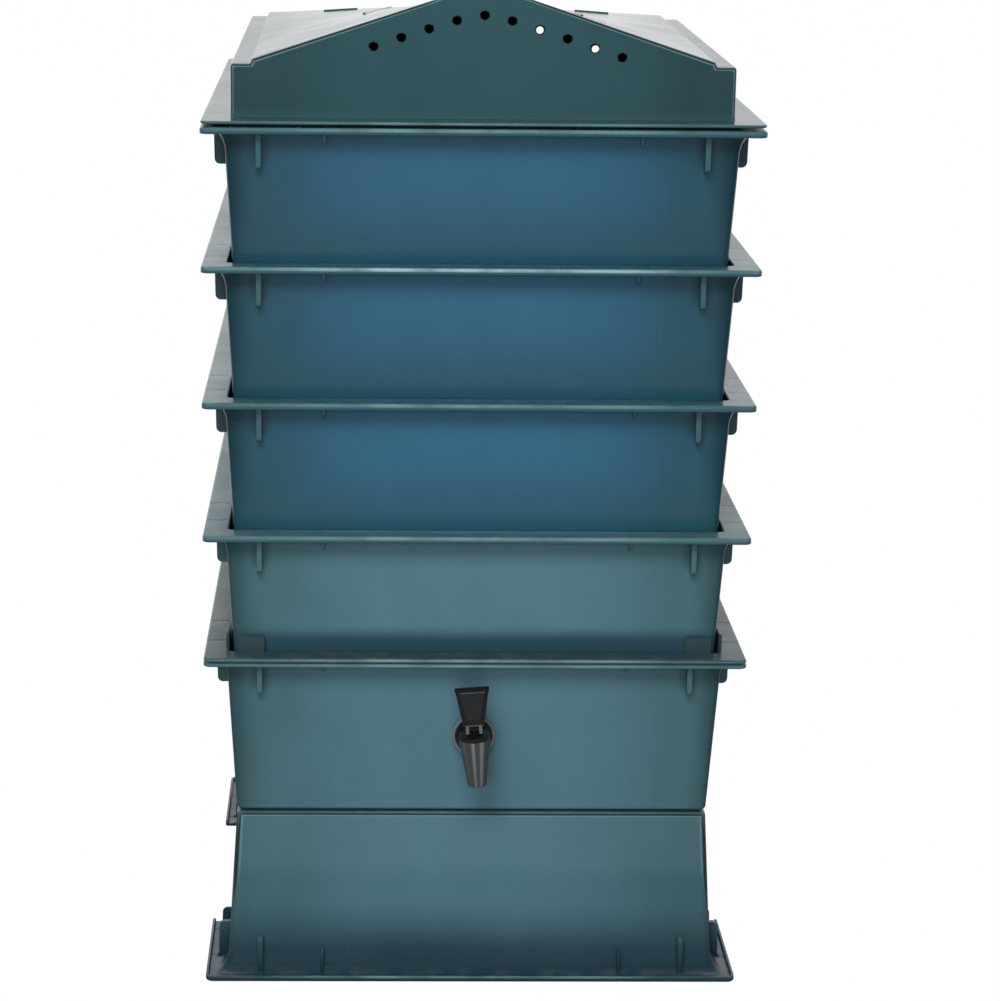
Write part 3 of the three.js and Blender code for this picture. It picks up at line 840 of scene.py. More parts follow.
def tap_bonnet():
    plug_radius = CHAMBER_RADIUS - REST_GAP
    bore = STEM_RADIUS + RUNNING_GAP
    plug_inner = plug_radius - PLUG_WALL
    plug_foot = BONNET_FOOT - BONNET_PLUG
    return moved(turned([
        (bore, BONNET_FOOT),
        (plug_inner, BONNET_FOOT),
        (plug_inner, plug_foot),
        (plug_radius, plug_foot),
        (plug_radius, BONNET_FOOT),
        (BONNET_RADIUS, BONNET_FOOT),
        *quarter(BONNET_RADIUS, BONNET_TOP, EDGE_ROUND, 0, 90),
        (bore, BONNET_TOP),
    ], closed=True), AT_BARREL)


def pin_hole(half):
    """Cutter for a hole of the pin, this far to each side."""
    return quarter_turned(rod(PIN_RADIUS + RUNNING_GAP, -half - OVERRUN, half + OVERRUN), "Y")


def tap_stem():
    shaft = rod(STEM_RADIUS, CUP_TOP - CUP_NECK_HEIGHT, PIN_HEIGHT)
    eye = quarter_turned(rounded_rod(EYE_RADIUS, -EYE_HALF, EYE_HALF, RIB_EDGE), "Y")
    hole = pin_hole(EYE_HALF)
    for mesh in (eye, hole):
        shifted(mesh, 0, 0, PIN_HEIGHT)
    return moved(cut(united(shaft, eye), hole), AT_BARREL)


def tap_seat_cup():
    socket = rod(STEM_RADIUS + RUNNING_GAP, CUP_FOOT + CUP_HEIGHT - REST_GAP, CUP_TOP + OVERRUN)
    cup = turned([
        (0, CUP_FOOT),
        *quarter(CUP_RADIUS, CUP_FOOT, RIB_EDGE, -90, 0),
        (CUP_RADIUS, CUP_FOOT + CUP_HEIGHT / 2),
        (CUP_NECK_RADIUS, CUP_FOOT + CUP_HEIGHT),
        (CUP_NECK_RADIUS, CUP_TOP),
        (0, CUP_TOP),
    ])
    return moved(cut(cup, socket), AT_BARREL)


def tap_pin():
    pin = rounded_rod(PIN_RADIUS, -FORK_HALF, FORK_HALF, RUNNING_GAP)
    return moved(quarter_turned(pin, "Y"), AT_PIN)


def fork_outline():
    """Side of the fork, (y, z) about the pin; its foot keeps its clearance over the bonnet as it tilts."""
    cam = []
    for step in range(CAM_STEPS + 1):
        tilt = LEVER_TILT * step / CAM_STEPS
        reach = FOOT_DEPTH + LEVER_LIFT * tilt
        along = -reach * math.sin(tilt) - LEVER_LIFT * math.cos(tilt)
        cam.append((along, -reach * math.cos(tilt) + LEVER_LIFT * math.sin(tilt)))
    return [(LEVER_BACK, -FOOT_DEPTH), *cam, (-PADDLE_THICKNESS / 2, PADDLE_FOOT), (LEVER_BACK, PADDLE_FOOT)]


def tap_lever():
    """Fork round the stem's eye, and a paddle with a recessed panel under a raised band."""
    fork = quarter_turned(slab(fork_outline(), 2 * FORK_HALF, RUNNING_GAP), "Z")
    slot_height = LEVER_SHOULDER + FOOT_DEPTH + OVERRUN
    slot_depth = 4 * (FOOT_DEPTH + LEVER_LIFT)
    slot = box(2 * (EYE_HALF + FORK_GAP), slot_depth, slot_height, (0, 0, LEVER_SHOULDER - slot_height / 2))
    paddle = tapered(
        PADDLE_FOOT_HALF, PADDLE_FOOT - OVERRUN, PADDLE_TOP_HALF, PADDLE_TOP, PADDLE_THICKNESS, PADDLE_EDGE
    )
    band_depth = PADDLE_THICKNESS / 2 + BAND_PROUD
    band_middle = (0, -band_depth / 2, PADDLE_TOP - BAND_HEIGHT / 2)
    band = box(2 * PADDLE_TOP_HALF, band_depth, BAND_HEIGHT, band_middle, PADDLE_EDGE)
    panel_foot = PADDLE_FOOT + PANEL_BORDER
    recess = shifted(tapered(
        PANEL_FOOT_HALF, panel_foot, PANEL_TOP_HALF, PANEL_TOP, 2 * PANEL_DEPTH, PANEL_DEPTH / 2
    ), 0, -PADDLE_THICKNESS / 2, 0)
    return moved(cut(united(united(fork, paddle), band), slot, pin_hole(FORK_HALF), recess), AT_PIN)


# Materials. A pattern is its noise's scale, detail and stretch, then the range of the noise that counts,
# then the levels at the range's ends where they are fixed. Marks end with what they change in the roughness.

DUSTINESS = 0.12
DUST = (0.42, 0.44, 0.43)
FILM = ((60.0, 6.0), (0.38, 0.8))
DUST_DULLNESS = 0.8
SCUFFED = (0.30, 0.36, 0.37)
SCUFFS = ((160.0, 3.0, (1, 1, 0.03)), (0.68, 0.82))
SMUDGES = ((12.0, 5.0), (0.3, 0.75), (-0.04, 0.07))
DRIFT_CELLS = (7.0, 3.0)
DRIFT = 0.08
NOISE_MIDDLE = 0.5
BAND_DRIFT = 4  # for each metre between a band's two heights
# Painted shade towards the corners of the walls begins and ends at these distances
CORNER_FADE = (0.055, 0.195)  # from the middle of a wall
FLOW = ((22.0, 4.0, (1, 1, 0.35)), (0.35, 0.75), 0, 0.22)
FLOW_LIGHTNESS = 1.3
# Painted shade at the walls' corners, beside the long ribs and on the ribs of the sides
SHADE_DARKNESS = 0.55
CORNER_SHADE = (0.165, 0.19, 0, 0.8)
RIB_SHADE = 0.6
RIB_SHADE_REACH = 0.006
RIB_SHADE_HEIGHTS = (-0.034, -0.024)
SIDE_RIB_SHADE = 0.7
SIDE_RIB_HEIGHTS = (-0.014, -0.01, 1, 0)
# Painted highlight on the flange's edge, in patches, fading towards the corners
EDGE_HIGHLIGHT = (0.30, 0.50, 0.55)
HIGHLIGHT_PATCHES = ((30.0, 5.0), (0.25, 0.7))
HIGHLIGHT_LEAST = 0.35
HIGHLIGHT_FADE = (0.06, 0.19, 1, 0.2)  # from the middle of a wall
LIP_SHADE = 0.75
# A dark colour painted as shade in the collector's lip groove and as a dark reflection on the lid's rims
PAINTED_DARK = (0.014, 0.034, 0.038)
GROOVE_SHADE_FADE = 0.0003
UPWARD = (0.55, 0.95)  # how far a normal points along an axis, as of the next three
TURN_BEGUN = (0.03, 0.12)
TURNED_UP = (0.2, 0.45)
TURNED_ASIDE = (0.3, 0.5)
RIM_LIGHT = 0.28
SHINE = (0.5, 0.08)  # specular level of the walls and of their corners
DULL_CORNER = (0.172, 0.19)
DULL_HEIGHTS = (-0.006, -0.003, 1, 0)
COAT_ROUGHNESS = 0.08
WAVE_CELLS = (16.0, 1.0)
WAVES = (0.0005, 0.4)  # depth and strength, as of the next two
SINKS = (0.0006, 0.8)
GRAIN = (0.00002, 0.5)
GRAIN_CELLS = (1400.0, 2.0)

TAP_PATCHES = ((180.0, 4.0), (0.35, 0.7), 0, 0.5)
TAP_SCRATCHES = ((900.0, 2.0, (1, 1, 0.05)), (0.62, 0.8), 0, 0.15)
TAP_PATCH_TONE = (1.3, 0.004)  # factor and lift, as of the bloom's tone
TAP_MARKS = ((240.0, 3.0), (0.4, 0.7), (-0.03, 0.06))
TAP_GRAIN_CELLS = (2600.0, 2.0)
# Painted highlights and reflections on the tap's lever and barrel, and painted shade on the disc's face
SHEEN_COLOUR = (0.26, 0.28, 0.30)
SHEEN_BANDS = (  # place across the barrel, half width and strength
    (-0.75, 0.2, 0.2), (-0.15, 0.16, 0.6), (0.42, 0.2, 0.65),
)
BAND_DEPTHS = (-0.013, 0.002, 1, 0)  # from the barrel's axis
PANEL_EDGE = (0.85, 1, 1, 0)
PANEL_LIGHT = 0.035
LINE_LIGHT = 0.45
FORK_LIGHT = 0.4
RIM_SHEEN = 0.6
DISC_SHADE = (0.006, 0.008, 0.009)

BLOOM = ((300.0, 4.0), (0.4, 0.75), 0, 0.35)
BLOOM_TONE = (1.2, 0.02)
RUBBER_MARKS = ((500.0, 2.0), (0.3, 0.7), (-0.06, 0.06))
RUBBER_GRAIN_CELLS = (1800.0, 2.0)
RUBBER_GRAIN = (0.00003, 0.6)
GLOW_REACH = (0.002, 0.002, 0.002)
STEEL = (0.55, 0.55, 0.54)
STEEL_CELLS = (5000.0, 2.0, (1, 0.05, 0.05))
STEEL_ROUGHNESS = (0.3, 0.7, 0.22, 0.38)
STEEL_GRAIN = (0.00001, 0.4)


def toned(colour, factor, lift=0):
    """The colour times factor, with lift added, and at most white."""
    return tuple(min(1, factor * c + lift) for c in colour)


class Nodes:
    """The nodes of a material or of the world."""

    def __init__(self, owner):
        owner.use_nodes = True
        self.tree = owner.node_tree

    def fill(self, sockets, inputs):
        """Links or sets the named sockets."""
        for name, value in inputs.items():
            if isinstance(value, bpy.types.NodeSocket):
                self.tree.links.new(value, sockets[name])
            elif sockets[name].type == "RGBA":
                sockets[name].default_value = (*value, 1)
            else:
                sockets[name].default_value = value

    def node(self, kind, inputs=None, **settings):
        made = self.tree.nodes.new(kind)
        for name, value in settings.items():
            setattr(made, name, value)
        self.fill(made.inputs, inputs or {})
        return made

    def mixed(self, share, first, second):
        """Colour between first and second."""
        return self.node("ShaderNodeMix", {"Factor": share, 6: first, 7: second}, data_type="RGBA").outputs[2]

    def ramped(self, value, low, high, to_low=0, to_high=1, shape="SMOOTHSTEP"):
        """value, from low to high, as a smooth step from to_low to to_high."""
        inputs = {"Value": value, "From Min": low, "From Max": high, "To Min": to_low, "To Max": to_high}
        return self.node("ShaderNodeMapRange", inputs, interpolation_type=shape).outputs["Result"]

    def maths(self, operation, *values):
        return self.node("ShaderNodeMath", dict(enumerate(values)), operation=operation).outputs[0]

    def times(self, first, *others):
        for other in others:
            first = self.maths("MULTIPLY", first, other)
        return first

    def off(self, value, place):
        """How far value is from place."""
        return self.maths("ABSOLUTE", self.maths("SUBTRACT", value, place))

    def split(self, vector):
        return self.node("ShaderNodeSeparateXYZ", {"Vector": vector}).outputs

    def mirrored(self, path):
        """Whether a ray is a reflected or a refracted one."""
        return self.maths("MAXIMUM", path["Is Glossy Ray"], path["Is Transmission Ray"])


class Surface(Nodes):
    """A material whose colour is painted on in layers, by the place on the piece."""

    def __init__(self, name, colour):
        self.material = bpy.data.materials.new(name)
        super().__init__(self.material)
        self.place = self.node("ShaderNodeTexCoord").outputs["Object"]
        self.colour = colour

    def paint(self, colour, *shares):
        """Covers the colour with another as far as the product of these shares."""
        self.colour = self.mixed(self.times(*shares), self.colour, colour)

    def noise(self, scale, detail, stretch=(1, 1, 1)):
        mapping = self.node("ShaderNodeMapping", {"Vector": self.place, "Scale": stretch})
        inputs = {"Vector": mapping.outputs[0], "Scale": scale, "Detail": detail}
        return self.node("ShaderNodeTexNoise", inputs).outputs[0]

    def pattern(self, cells, shown, to_low, to_high):
        return self.ramped(self.noise(*cells), *shown, to_low, to_high)

    def marks(self, cells, shown, spread, roughness):
        """Roughness between its two changes in spread."""
        return self.pattern(cells, shown, *(roughness + change for change in spread))

    def bump(self, height, depth, strength, invert=False, **more):
        inputs = {"Height": height, "Distance": depth, "Strength": strength, **more}
        return self.node("ShaderNodeBump", inputs, invert=invert).outputs[0]

    def finished(self, **inputs):
        """The material, with these inputs of its shader, named with _ for a space."""
        named = {name.replace("_", " "): value for name, value in inputs.items()}
        shader = self.tree.nodes["Principled BSDF"]
        self.fill(shader.inputs, {"Base Color": self.colour, **named})
        return self.material


class Moulding(Surface):
    """Polypropylene of a tub or the lid, its places measured from the top of the flange."""

    def __init__(self, name, middle, corner):
        super().__init__(name, None)
        x, y, self.z = self.split(self.place)
        self.side_x = self.maths("ABSOLUTE", x)
        side_y = self.maths("ABSOLUTE", y)
        self.along_wall = self.maths("MINIMUM", self.side_x, side_y)
        self.outward = self.maths("MAXIMUM", self.side_x, side_y)
        self.drift = self.times(self.maths("SUBTRACT", self.noise(*DRIFT_CELLS), NOISE_MIDDLE), DRIFT)
        self.at_edge = self.ramped(self.outward, FLANGE_HALF - LIP_TOP_ROUND, FLANGE_HALF - EDGE_ROUND / 2)
        # Painted shade: the colour goes from each wall's lit middle to its shaded corners
        corner_shade = self.ramped(self.maths("ADD", self.along_wall, self.drift), *CORNER_FADE)
        self.colour = self.mixed(corner_shade, middle, corner)
        self.paint(toned(middle, FLOW_LIGHTNESS), self.pattern(*FLOW))

    def shade_and_flange(self, shade_colour, flange):
        """Painted shade at the corners, beside the long ribs and on the side ribs, and the flange's colour
        over the flange and the ribs.
        """
        hanging = self.ramped(self.z, -RIB_EDGE, RIB_EDGE, 1, 0)
        # Painted shade in the walls' corners, below the flange
        self.paint(shade_colour, self.ramped(self.along_wall, *CORNER_SHADE), hanging)
        # Painted shadow on both sides of each long rib
        off_rib = self.off(self.along_wall, LONG_RIB_PLACE)
        beside_rib = self.ramped(off_rib, LONG_RIB_WIDTH, LONG_RIB_WIDTH + RIB_SHADE_REACH, RIB_SHADE, 0)
        self.paint(shade_colour, beside_rib, self.ramped(self.z, *RIB_SHADE_HEIGHTS), hanging)
        ribs = (RIM_HALF + RIB_EDGE, RIM_HALF + RIB_REACH)
        self.paint(flange, self.ramped(self.outward, *ribs))
        # Painted shade on the ribs of the two X sides, low down
        side_rib = self.ramped(self.side_x, *ribs, 0, SIDE_RIB_SHADE)
        self.paint(shade_colour, side_rib, self.ramped(self.z, *SIDE_RIB_HEIGHTS))

    def banded(self, colour, full, clean, depth):
        """A band of this colour and depth, full at one height and gone at the other: painted shade on the
        tubs and the stand, a lighter band on the lid.
        """
        height = self.maths("ADD", self.z, self.times(self.drift, BAND_DRIFT * abs(clean - full)))
        self.paint(colour, self.ramped(height, full, clean, depth, 0))

    def edge_lit(self, lightness, height, shade):
        """The flange's edge: a painted highlight from this height up, and painted shade below it."""
        at_top = self.ramped(self.z, height - EDGE_ROUND, height)
        patches = self.pattern(*HIGHLIGHT_PATCHES, HIGHLIGHT_LEAST * lightness, lightness)
        below = self.ramped(self.z, height - 2 * EDGE_ROUND, height, LIP_SHADE, 0)
        lip = self.ramped(self.outward, FLANGE_HALF - EDGE_ROUND, FLANGE_HALF - EDGE_ROUND / 2)
        self.paint(shade, below, lip)
        # Painted highlight along the rounded top of the flange's edge
        self.paint(EDGE_HIGHLIGHT, self.at_edge, at_top, patches, self.ramped(self.along_wall, *HIGHLIGHT_FADE))

    def groove_shaded(self, low, high):
        """Painted shade in the groove of the flange's edge."""
        above = self.ramped(self.z, low - GROOVE_SHADE_FADE, low + GROOVE_SHADE_FADE)
        below = self.ramped(self.z, high - GROOVE_SHADE_FADE, high + GROOVE_SHADE_FADE, 1, 0)
        self.paint(PAINTED_DARK, above, below, self.at_edge)

    def rim_lines(self, facing):
        """The lid's rims: a painted highlight where they begin to turn, and a painted dark reflection where
        they have turned.
        """
        on_rim = self.times(
            self.ramped(self.outward, LID_HALF - LID_EDGE_ROUND - EDGE_ROUND, LID_HALF - LID_EDGE_ROUND),
            self.ramped(self.outward, LID_HALF, LID_HALF + EDGE_ROUND, 1, 0),
            self.ramped(self.z, LID_COVE, 2 * LID_COVE),
        )
        to_x = self.maths("ABSOLUTE", facing[0])
        to_y = self.ramped(self.maths("ABSOLUTE", facing[1]), *TURN_BEGUN)
        # A faint painted highlight where a rim starts to turn, and a painted dark reflection where it has
        # turned
        for up, aside, share, colour in (
            (TURN_BEGUN, TURN_BEGUN, RIM_LIGHT, EDGE_HIGHLIGHT), (TURNED_UP, TURNED_ASIDE, 1, PAINTED_DARK),
        ):
            corner_turns = self.times(self.ramped(to_x, *aside), to_y)
            turning = self.maths("MAXIMUM", self.ramped(facing[2], *up), corner_turns)
            self.paint(colour, turning, on_rim, share)

    def sinks(self):
        """1 over the middle of each rib, falling to 0 at its sides."""
        ribs = ((LONG_RIB_PLACE, LONG_RIB_WIDTH), (SHORT_RIB_PLACE, SHORT_RIB_WIDTH))
        return self.maths("MAXIMUM", *(
            self.ramped(self.off(self.along_wall, place), 0, width, 1, 0) for place, width in ribs
        ))


def moulded(name, middle, corner, flange, height_band, highlight, roughness, coat, dustiness=DUSTINESS, dark_groove=None):
    """Moulded polypropylene, its colour drifting from the middle of each wall to the corners as painted
    shade. The height band is its colour, the heights at which it is full and gone, and its depth; the
    highlight is how light the painted highlight on the flange's edge is, and from which height up; the dark
    groove is the heights of painted shade in the edge's groove."""
    surface = Moulding(name, middle, corner)
    surface.shade_and_flange(toned(corner, SHADE_DARKNESS), flange)
    surface.banded(*height_band)
    surface.edge_lit(*highlight, height_band[0])
    if dark_groove:
        surface.groove_shaded(*dark_groove)
    facing = surface.split(surface.node("ShaderNodeNewGeometry").outputs["Normal"])
    surface.rim_lines(facing)
    upward = surface.ramped(facing[2], *UPWARD)
    dust = surface.times(upward, surface.pattern(*FILM, dustiness / 6, dustiness))
    surface.paint(DUST, dust)
    surface.paint(SCUFFED, surface.pattern(*SCUFFS, 0, dustiness / 2))
    smudges = surface.marks(*SMUDGES, roughness)
    corners = surface.ramped(surface.along_wall, *DULL_CORNER)
    dull = surface.times(corners, surface.ramped(surface.z, *DULL_HEIGHTS))
    wave_depth, wave_strength = WAVES
    waves = surface.bump(surface.noise(*WAVE_CELLS), wave_depth * dustiness / DUSTINESS, wave_strength)
    on_flange = surface.times(upward, surface.ramped(surface.outward, RIM_HALF, RIM_HALF + RIB_EDGE))
    sinks = surface.bump(surface.times(surface.sinks(), on_flange), *SINKS, invert=True, Normal=waves)
    return surface.finished(
        Roughness=surface.maths("ADD", smudges, surface.times(dust, DUST_DULLNESS)),
        Specular_IOR_Level=surface.ramped(dull, 0, 1, *SHINE),
        Coat_Weight=coat,
        Coat_Roughness=COAT_ROUGHNESS,
        Normal=surface.bump(surface.noise(*GRAIN_CELLS), *GRAIN, Normal=sinks),
    )


def tap_plastic(name, colour, roughness, sheen=None):
    """Semi-gloss moulding of the tap, with fine scratches and finger marks; the function passed last adds
    painted highlights, reflections and shade.
    """
    surface = Surface(name, colour)
    surface.paint(toned(colour, *TAP_PATCH_TONE), surface.pattern(*TAP_PATCHES))
    if sheen:
        sheen(surface)
    marks = surface.marks(*TAP_MARKS, roughness)
    return surface.finished(
        Roughness=surface.maths("ADD", marks, surface.pattern(*TAP_SCRATCHES)),
        Normal=surface.bump(surface.noise(*TAP_GRAIN_CELLS), *GRAIN),
    )


def lever_sheen(surface):
    """Painted highlights: the paddle's panel lighter than its border, a bright line under the band at its
    top, and light on the fork.
    """
    x, y, z = surface.split(surface.place)
    pin = AT_PIN.to_translation()
    height = surface.maths("SUBTRACT", z, pin.z)
    in_front = surface.ramped(y, pin.y - RIB_EDGE, pin.y, 1, 0)
    half = surface.ramped(height, PADDLE_FOOT, PANEL_TOP, PANEL_FOOT_HALF, PANEL_TOP_HALF, "LINEAR")
    across = surface.maths("DIVIDE", surface.off(x, pin.x), half)
    inside = surface.times(surface.ramped(across, *PANEL_EDGE), in_front)
    above_foot = surface.ramped(height, PADDLE_FOOT, PADDLE_FOOT + 2 * PANEL_BORDER)
    below_top = surface.ramped(height, PANEL_TOP - RIB_EDGE, PANEL_TOP, 1, 0)
    # Painted highlight: the panel lighter than its border
    surface.paint(SHEEN_COLOUR, inside, above_foot, below_top, PANEL_LIGHT)
    # Painted highlight: a bright line under the band
    off_line = surface.off(height, PANEL_TOP + RIB_EDGE)
    surface.paint(SHEEN_COLOUR, inside, surface.ramped(off_line, RIB_EDGE / 2, RIB_EDGE, LINE_LIGHT, 0))
    # Painted highlight at the foot of the fork
    fork = surface.ramped(height, PADDLE_FOOT - RIB_EDGE, PADDLE_FOOT, FORK_LIGHT, 0)
    surface.paint(SHEEN_COLOUR, fork, in_front)


def body_sheen(surface):
    """Painted reflections run down the barrel as light bands; the disc's rim has a painted highlight and its
    face painted shade.
    """
    x, y, z = surface.split(surface.place)

    def from_axis(other):
        squares = (surface.times(value, value) for value in (x, other))
        return surface.maths("SQRT", surface.maths("ADD", *squares))

    out = surface.maths("ADD", y, BARREL_STAND_OFF)
    side = surface.maths("DIVIDE", x, from_axis(out))
    # Painted reflections: light bands down the barrel
    for middle, half_width, share in SHEEN_BANDS:
        band = surface.ramped(surface.off(side, middle), half_width / 3, half_width, share, 0)
        surface.paint(SHEEN_COLOUR, band, surface.ramped(out, *BAND_DEPTHS))
    on_disc = surface.ramped(y, DISC_FRONT - RIB_EDGE, DISC_FRONT)
    rim_from = DISC_RADIUS - DISC_RIM
    rim = surface.ramped(from_axis(z), rim_from - RIB_EDGE, rim_from + RIB_EDGE)
    # Painted shade on the disc's face
    surface.paint(DISC_SHADE, on_disc, surface.maths("SUBTRACT", 1, rim))
    # Painted highlight on the disc's rim
    surface.paint(SHEEN_COLOUR, on_disc, rim, RIM_SHEEN)


def soft_rubber(name, colour, roughness, translucent=0):
    """Rubber with a pale bloom; translucent is the share of the light that passes under its skin."""
    surface = Surface(name, colour)
    surface.paint(toned(colour, *BLOOM_TONE), surface.pattern(*BLOOM))
    return surface.finished(
        Roughness=surface.marks(*RUBBER_MARKS, roughness),
        Subsurface_Weight=translucent,
        Subsurface_Radius=GLOW_REACH,
        Normal=surface.bump(surface.noise(*RUBBER_GRAIN_CELLS), *RUBBER_GRAIN),
    )


def turned_steel(name):
    """Steel with the fine rings of a lathe round X."""
    surface = Surface(name, STEEL)
    rings = surface.noise(*STEEL_CELLS)
    return surface.finished(
        Metallic=1,
        Roughness=surface.ramped(rings, *STEEL_ROUGHNESS),
        Normal=surface.bump(rings, *STEEL_GRAIN),
    )


# Assembly

# Colour sets: a wall's lit middle, its corner with painted shade, and its flange
LIT_TEAL = (0.090, 0.207, 0.258)
SHADED_TEAL = (0.057, 0.140, 0.164)
FLANGE_TEAL = (0.062, 0.150, 0.165)
TEAL = (LIT_TEAL, SHADED_TEAL, FLANGE_TEAL)
TEAL_FINISH = (0.26, 0)  # roughness and coat, as of the next two
BLUE_FINISH = (0.22, 0.25)
LID_FINISH = (0.18, 0.4)
LID_DUSTINESS = 0.02
# Painted shade on the lowest tray's walls just above the collector
LOWEST_SHADE = ((0.026, 0.074, 0.104), -0.091, -0.077, 1)
# Painted shade on the collector's flange top and tabs, under the lowest tray
COLLECTOR_FLANGE_SHADE = ((0.028, 0.062, 0.070), -0.0004, -0.0016, 1)
COLLECTOR_HIGHLIGHT = (0.45, -0.0062)
STAND_COLOURS = ((0.079, 0.184, 0.233), (0.050, 0.126, 0.150), FLANGE_TEAL)
# Painted shade on the stand, darker towards the floor
STAND_FOOT_SHADE = ((0.012, 0.040, 0.060), 0.004, 0.066, 1)
STAND_HIGHLIGHT = (0.5, 0.004)
LID_COLOURS = ((0.025, 0.081, 0.097), (0.018, 0.059, 0.070), (0.028, 0.078, 0.086))
# A lighter band low on the lid's walls, near the flange
LID_BAND = ((0.036, 0.100, 0.110), 0.001, 0.008, 0.5)
LID_HIGHLIGHT = (0.3, -PLATE)
LIT_BLUE = (0.024, 0.115, 0.196)
SHADED_BLUE = (0.015, 0.064, 0.092)
FLANGE_BLUE = (0.040, 0.120, 0.138)
# Painted shade on the blue trays' walls, darker towards the bottom
LOW_SHADE_BLUE = (0.018, 0.070, 0.096)
BLUE_LOW_SHADE = (-0.106, -0.045, 0.7)
FAINT_HIGHLIGHT = 0.42
# Each blue tray: its name, its lightness, and the strength of the painted highlight on its flange's edge
BLUE_TRAYS = (("deep", 1, FAINT_HIGHLIGHT), ("edge_lit", 1.06, 1.15), ("pale", 1.17, FAINT_HIGHLIGHT))  # tray_1 first
BLACK = ((0.008, 0.008, 0.010), 0.30)  # colour and roughness, as of the next four
LEVER_BLACK = ((0.006, 0.006, 0.008), 0.30)
GREY = ((0.052, 0.056, 0.060), 0.24)
RUBBER = ((0.010, 0.010, 0.010), 0.75)
SILICONE = ((0.55, 0.57, 0.55), 0.45, 0.3)  # and how translucent

tray_materials = []
for shade, lightness, highlight in BLUE_TRAYS:
    middle, corner, banded = (toned(colour, lightness) for colour in (LIT_BLUE, SHADED_BLUE, LOW_SHADE_BLUE))
    tray_materials.append(moulded(
        f"{shade}_blue_green", middle, corner, FLANGE_BLUE, (banded, *BLUE_LOW_SHADE), (highlight, -LIP_TOP_ROUND),
        *BLUE_FINISH,
    ))
tray_materials.append(
    moulded("lowest_teal", *TEAL, LOWEST_SHADE, (FAINT_HIGHLIGHT, -LIP_TOP_ROUND), *TEAL_FINISH)
)
groove = (-GROOVE_TO, -GROOVE_FROM)
collector_teal = moulded(
    "collector_teal", *TEAL, COLLECTOR_FLANGE_SHADE, COLLECTOR_HIGHLIGHT, *TEAL_FINISH, dark_groove=groove
)
stand_teal = moulded("stand_teal", *STAND_COLOURS, STAND_FOOT_SHADE, STAND_HIGHLIGHT, *TEAL_FINISH)
lid_green = moulded("lid_green", *LID_COLOURS, LID_BAND, LID_HIGHLIGHT, *LID_FINISH, LID_DUSTINESS)
black_plastic = tap_plastic("black_tap_plastic", *BLACK)
lever_plastic = tap_plastic("lever_plastic", *LEVER_BLACK, lever_sheen)
grey_plastic = tap_plastic("grey_tap_plastic", *GREY, body_sheen)
rubber = soft_rubber("gasket_rubber", *RUBBER)
silicone = soft_rubber("cup_silicone", *SILICONE)
steel = turned_steel("pin_steel")

piece("stand_moulding", stand(), stand_teal, "stand", "base_stand", stack_place(0))
piece(
    "collector_moulding", collector(), collector_teal, "collector", "collector",
    stack_place(COLLECTOR_TOP),
)
tray_mesh = tray()
tray_slots = ["blue_green_plastic"] * len(BLUE_TRAYS) + ["green_plastic"]
for number, (material, slot) in enumerate(zip(tray_materials, tray_slots), 1):
    name = f"tray_{number}"
    top = stack_place(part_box(name)[1].z)
    piece(f"{name}_moulding", tray_mesh.copy(), material, name, name, top)
piece("lid_moulding", lid(), lid_green, "lid", "lid", stack_place(LID_TOP))

for name, mesh, material, body, node_name, slot in (
    ("tap_body_moulding", tap_body(), grey_plastic, "collector", "tap_body", "grey_plastic"),
    ("outer_gasket_ring", gasket(DISC_BACK + REST_GAP), rubber, "collector", "tap_outer_gasket", "rubber"),
    ("inner_gasket_ring", gasket(INNER_GASKET_FROM), rubber, "collector", "tap_inner_gasket", "rubber"),
    ("clamping_nut", tap_nut(), black_plastic, "collector", "tap_nut", "black_plastic"),
    ("bonnet_moulding", tap_bonnet(), black_plastic, "collector", "tap_bonnet", "black_plastic"),
    ("stem_moulding", tap_stem(), black_plastic, "tap_stem", "tap_stem", "black_plastic"),
    ("seat_cup_moulding", tap_seat_cup(), silicone, "tap_stem", "tap_seat_cup", "silicone"),
    ("lever_pin", tap_pin(), steel, "tap_stem", "tap_pin", "steel"),
    ("lever_moulding", tap_lever(), lever_plastic, "tap_lever", "tap_lever", "black_plastic"),
):
    piece(name, mesh, material, body, node_name, TAP_PLACE)


# Studio

WHITE = (1, 1, 1)
WORLD_BEHIND = (0.25, 0.9, 0.10, 1.20)  # how far towards +Y, and the light there
WORLD_LOW = (0.1, 0.35, 0.62, 1)  # how far up, and the share of the light there
WORLD_HORIZON = (0.04, 0.1, 0.24, 0)
AMBIENT = 0.56  # the world's share of the soft light
FLOOR_SIZE = 24.0
FLOOR_PAPER = (0.22, 0.22, 0.22)
FLOOR_ROUGHNESS = 0.9
FLOOR_WHITENESS = 0.996
FLOOR_BEHIND = (0, 0.6, 0.15, 1)  # how far towards +Y, and how white a mirror sees it there
SOFTBOXES = (  # name, place, aim, width, height, power, and whether mirrors show it
    ("key_softbox", (-0.5, -2.3, 2.5), (0, 0, 0.3), 1.4, 1.0, 57, False),
    ("front_softbox", (-0.3, -2.9, 1.0), (0, 0, 0.33), 1.6, 1.2, 30, False),
    ("rim_softbox", (0.0, 0.5, 2.6), (0, 0, 0.4), 2.4, 1.2, 20, True),
)


def white_world():
    """White to the camera. It lights from behind more than from the photographer's side."""
    world = bpy.data.worlds.new("studio_world")
    bpy.context.scene.world = world
    nodes = Nodes(world)
    path = nodes.node("ShaderNodeLightPath").outputs
    _, behind, up = nodes.split(nodes.node("ShaderNodeTexCoord").outputs["Generated"])
    level = nodes.times(nodes.ramped(behind, *WORLD_BEHIND), nodes.ramped(up, *WORLD_LOW))
    level = nodes.maths("ADD", level, nodes.ramped(up, *WORLD_HORIZON))
    lighting = nodes.times(level, nodes.ramped(nodes.mirrored(path), 0, 1, AMBIENT, 1))
    strength = nodes.maths("MAXIMUM", lighting, path["Is Camera Ray"])
    nodes.fill(nodes.tree.nodes["Background"].inputs, {"Color": WHITE, "Strength": strength})


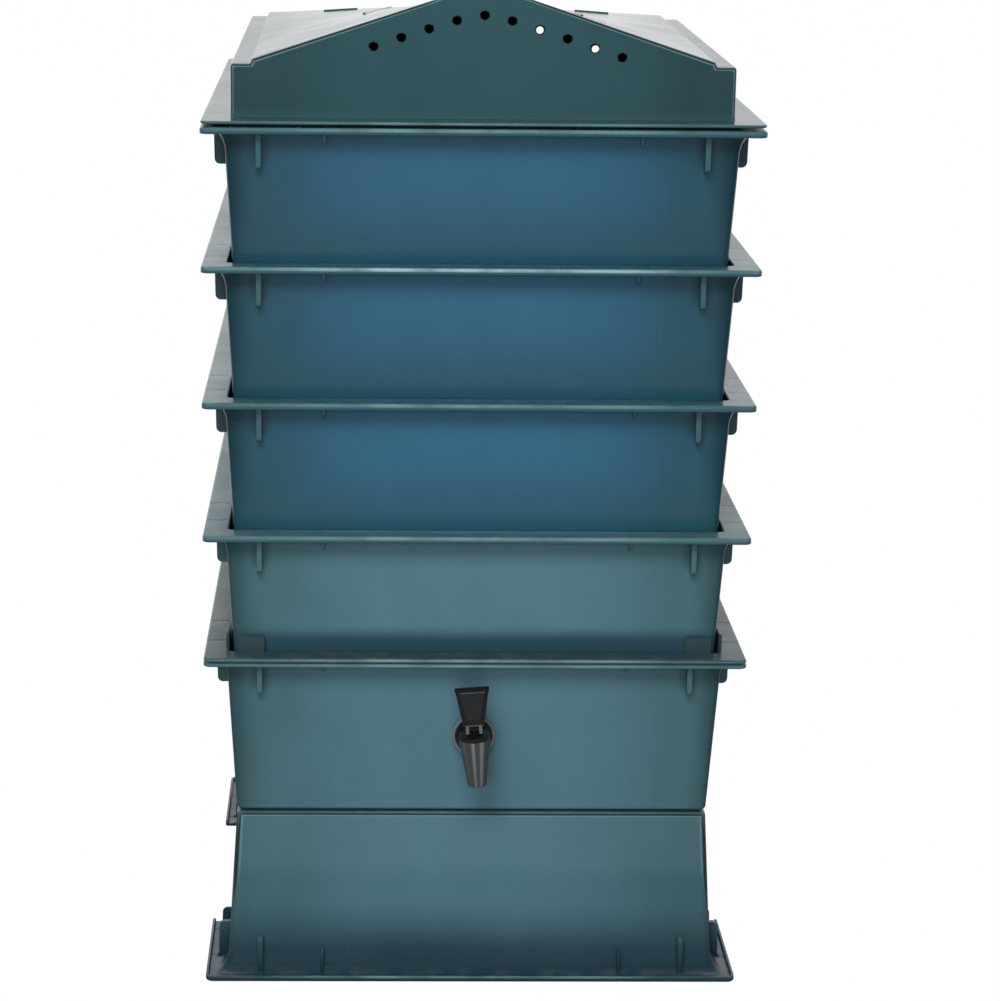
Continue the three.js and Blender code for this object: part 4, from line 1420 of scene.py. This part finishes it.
def white_floor():
    """Floor that keeps the shadow and otherwise shows as the white background does."""
    mesh = bpy.data.meshes.new("studio_floor")
    half = FLOOR_SIZE / 2
    mesh.from_pydata([(-half, -half, 0), (half, -half, 0), (half, half, 0), (-half, half, 0)], [], [range(4)])
    paper = Surface("floor_white", FLOOR_PAPER)
    path = paper.node("ShaderNodeLightPath").outputs
    glow = paper.node("ShaderNodeEmission", {"Color": WHITE, "Strength": 1})
    behind = paper.ramped(paper.split(paper.place)[1], *FLOOR_BEHIND)
    seen = paper.maths("MAXIMUM", path["Is Camera Ray"], paper.times(paper.mirrored(path), behind))
    inputs = {
        0: paper.ramped(seen, 0, 1, 0, FLOOR_WHITENESS),
        1: paper.tree.nodes["Principled BSDF"].outputs[0],
        2: glow.outputs[0],
    }
    shown = paper.node("ShaderNodeMixShader", inputs).outputs[0]
    paper.fill(paper.tree.nodes["Material Output"].inputs, {"Surface": shown})
    mesh.materials.append(paper.finished(Roughness=FLOOR_ROUGHNESS, Specular_IOR_Level=0))
    added("studio_floor", mesh)


def softbox(name, place, aim, width, height, power, in_mirrors):
    data = bpy.data.lights.new(name, "AREA")
    data.shape = "RECTANGLE"
    data.size = width
    data.size_y = height
    data.energy = power
    light = added(name, data)
    light.location = place
    light.rotation_euler = (Vector(aim) - Vector(place)).to_track_quat("-Z", "Y").to_euler()
    light.visible_glossy = in_mirrors


white_world()
white_floor()
for settings in SOFTBOXES:
    softbox(*settings)

camera_data = bpy.data.cameras.new("photo_camera")
camera_data.lens = CAMERA_LENS
camera_data.shift_x = CAMERA_SHIFT_X
camera_data.shift_y = CAMERA_SHIFT_Y
camera = added("photo_camera", camera_data)
facing = Matrix.Rotation(-CAMERA_YAW, 4, "Z") @ Matrix.Rotation(QUARTER_TURN - CAMERA_PITCH, 4, "X")
camera.matrix_world = Matrix.Translation(CAMERA_PLACE) @ facing @ Matrix.Rotation(CAMERA_ROLL, 4, "Z")
bpy.context.scene.camera = camera
bpy.context.scene.view_settings.view_transform = "Standard"
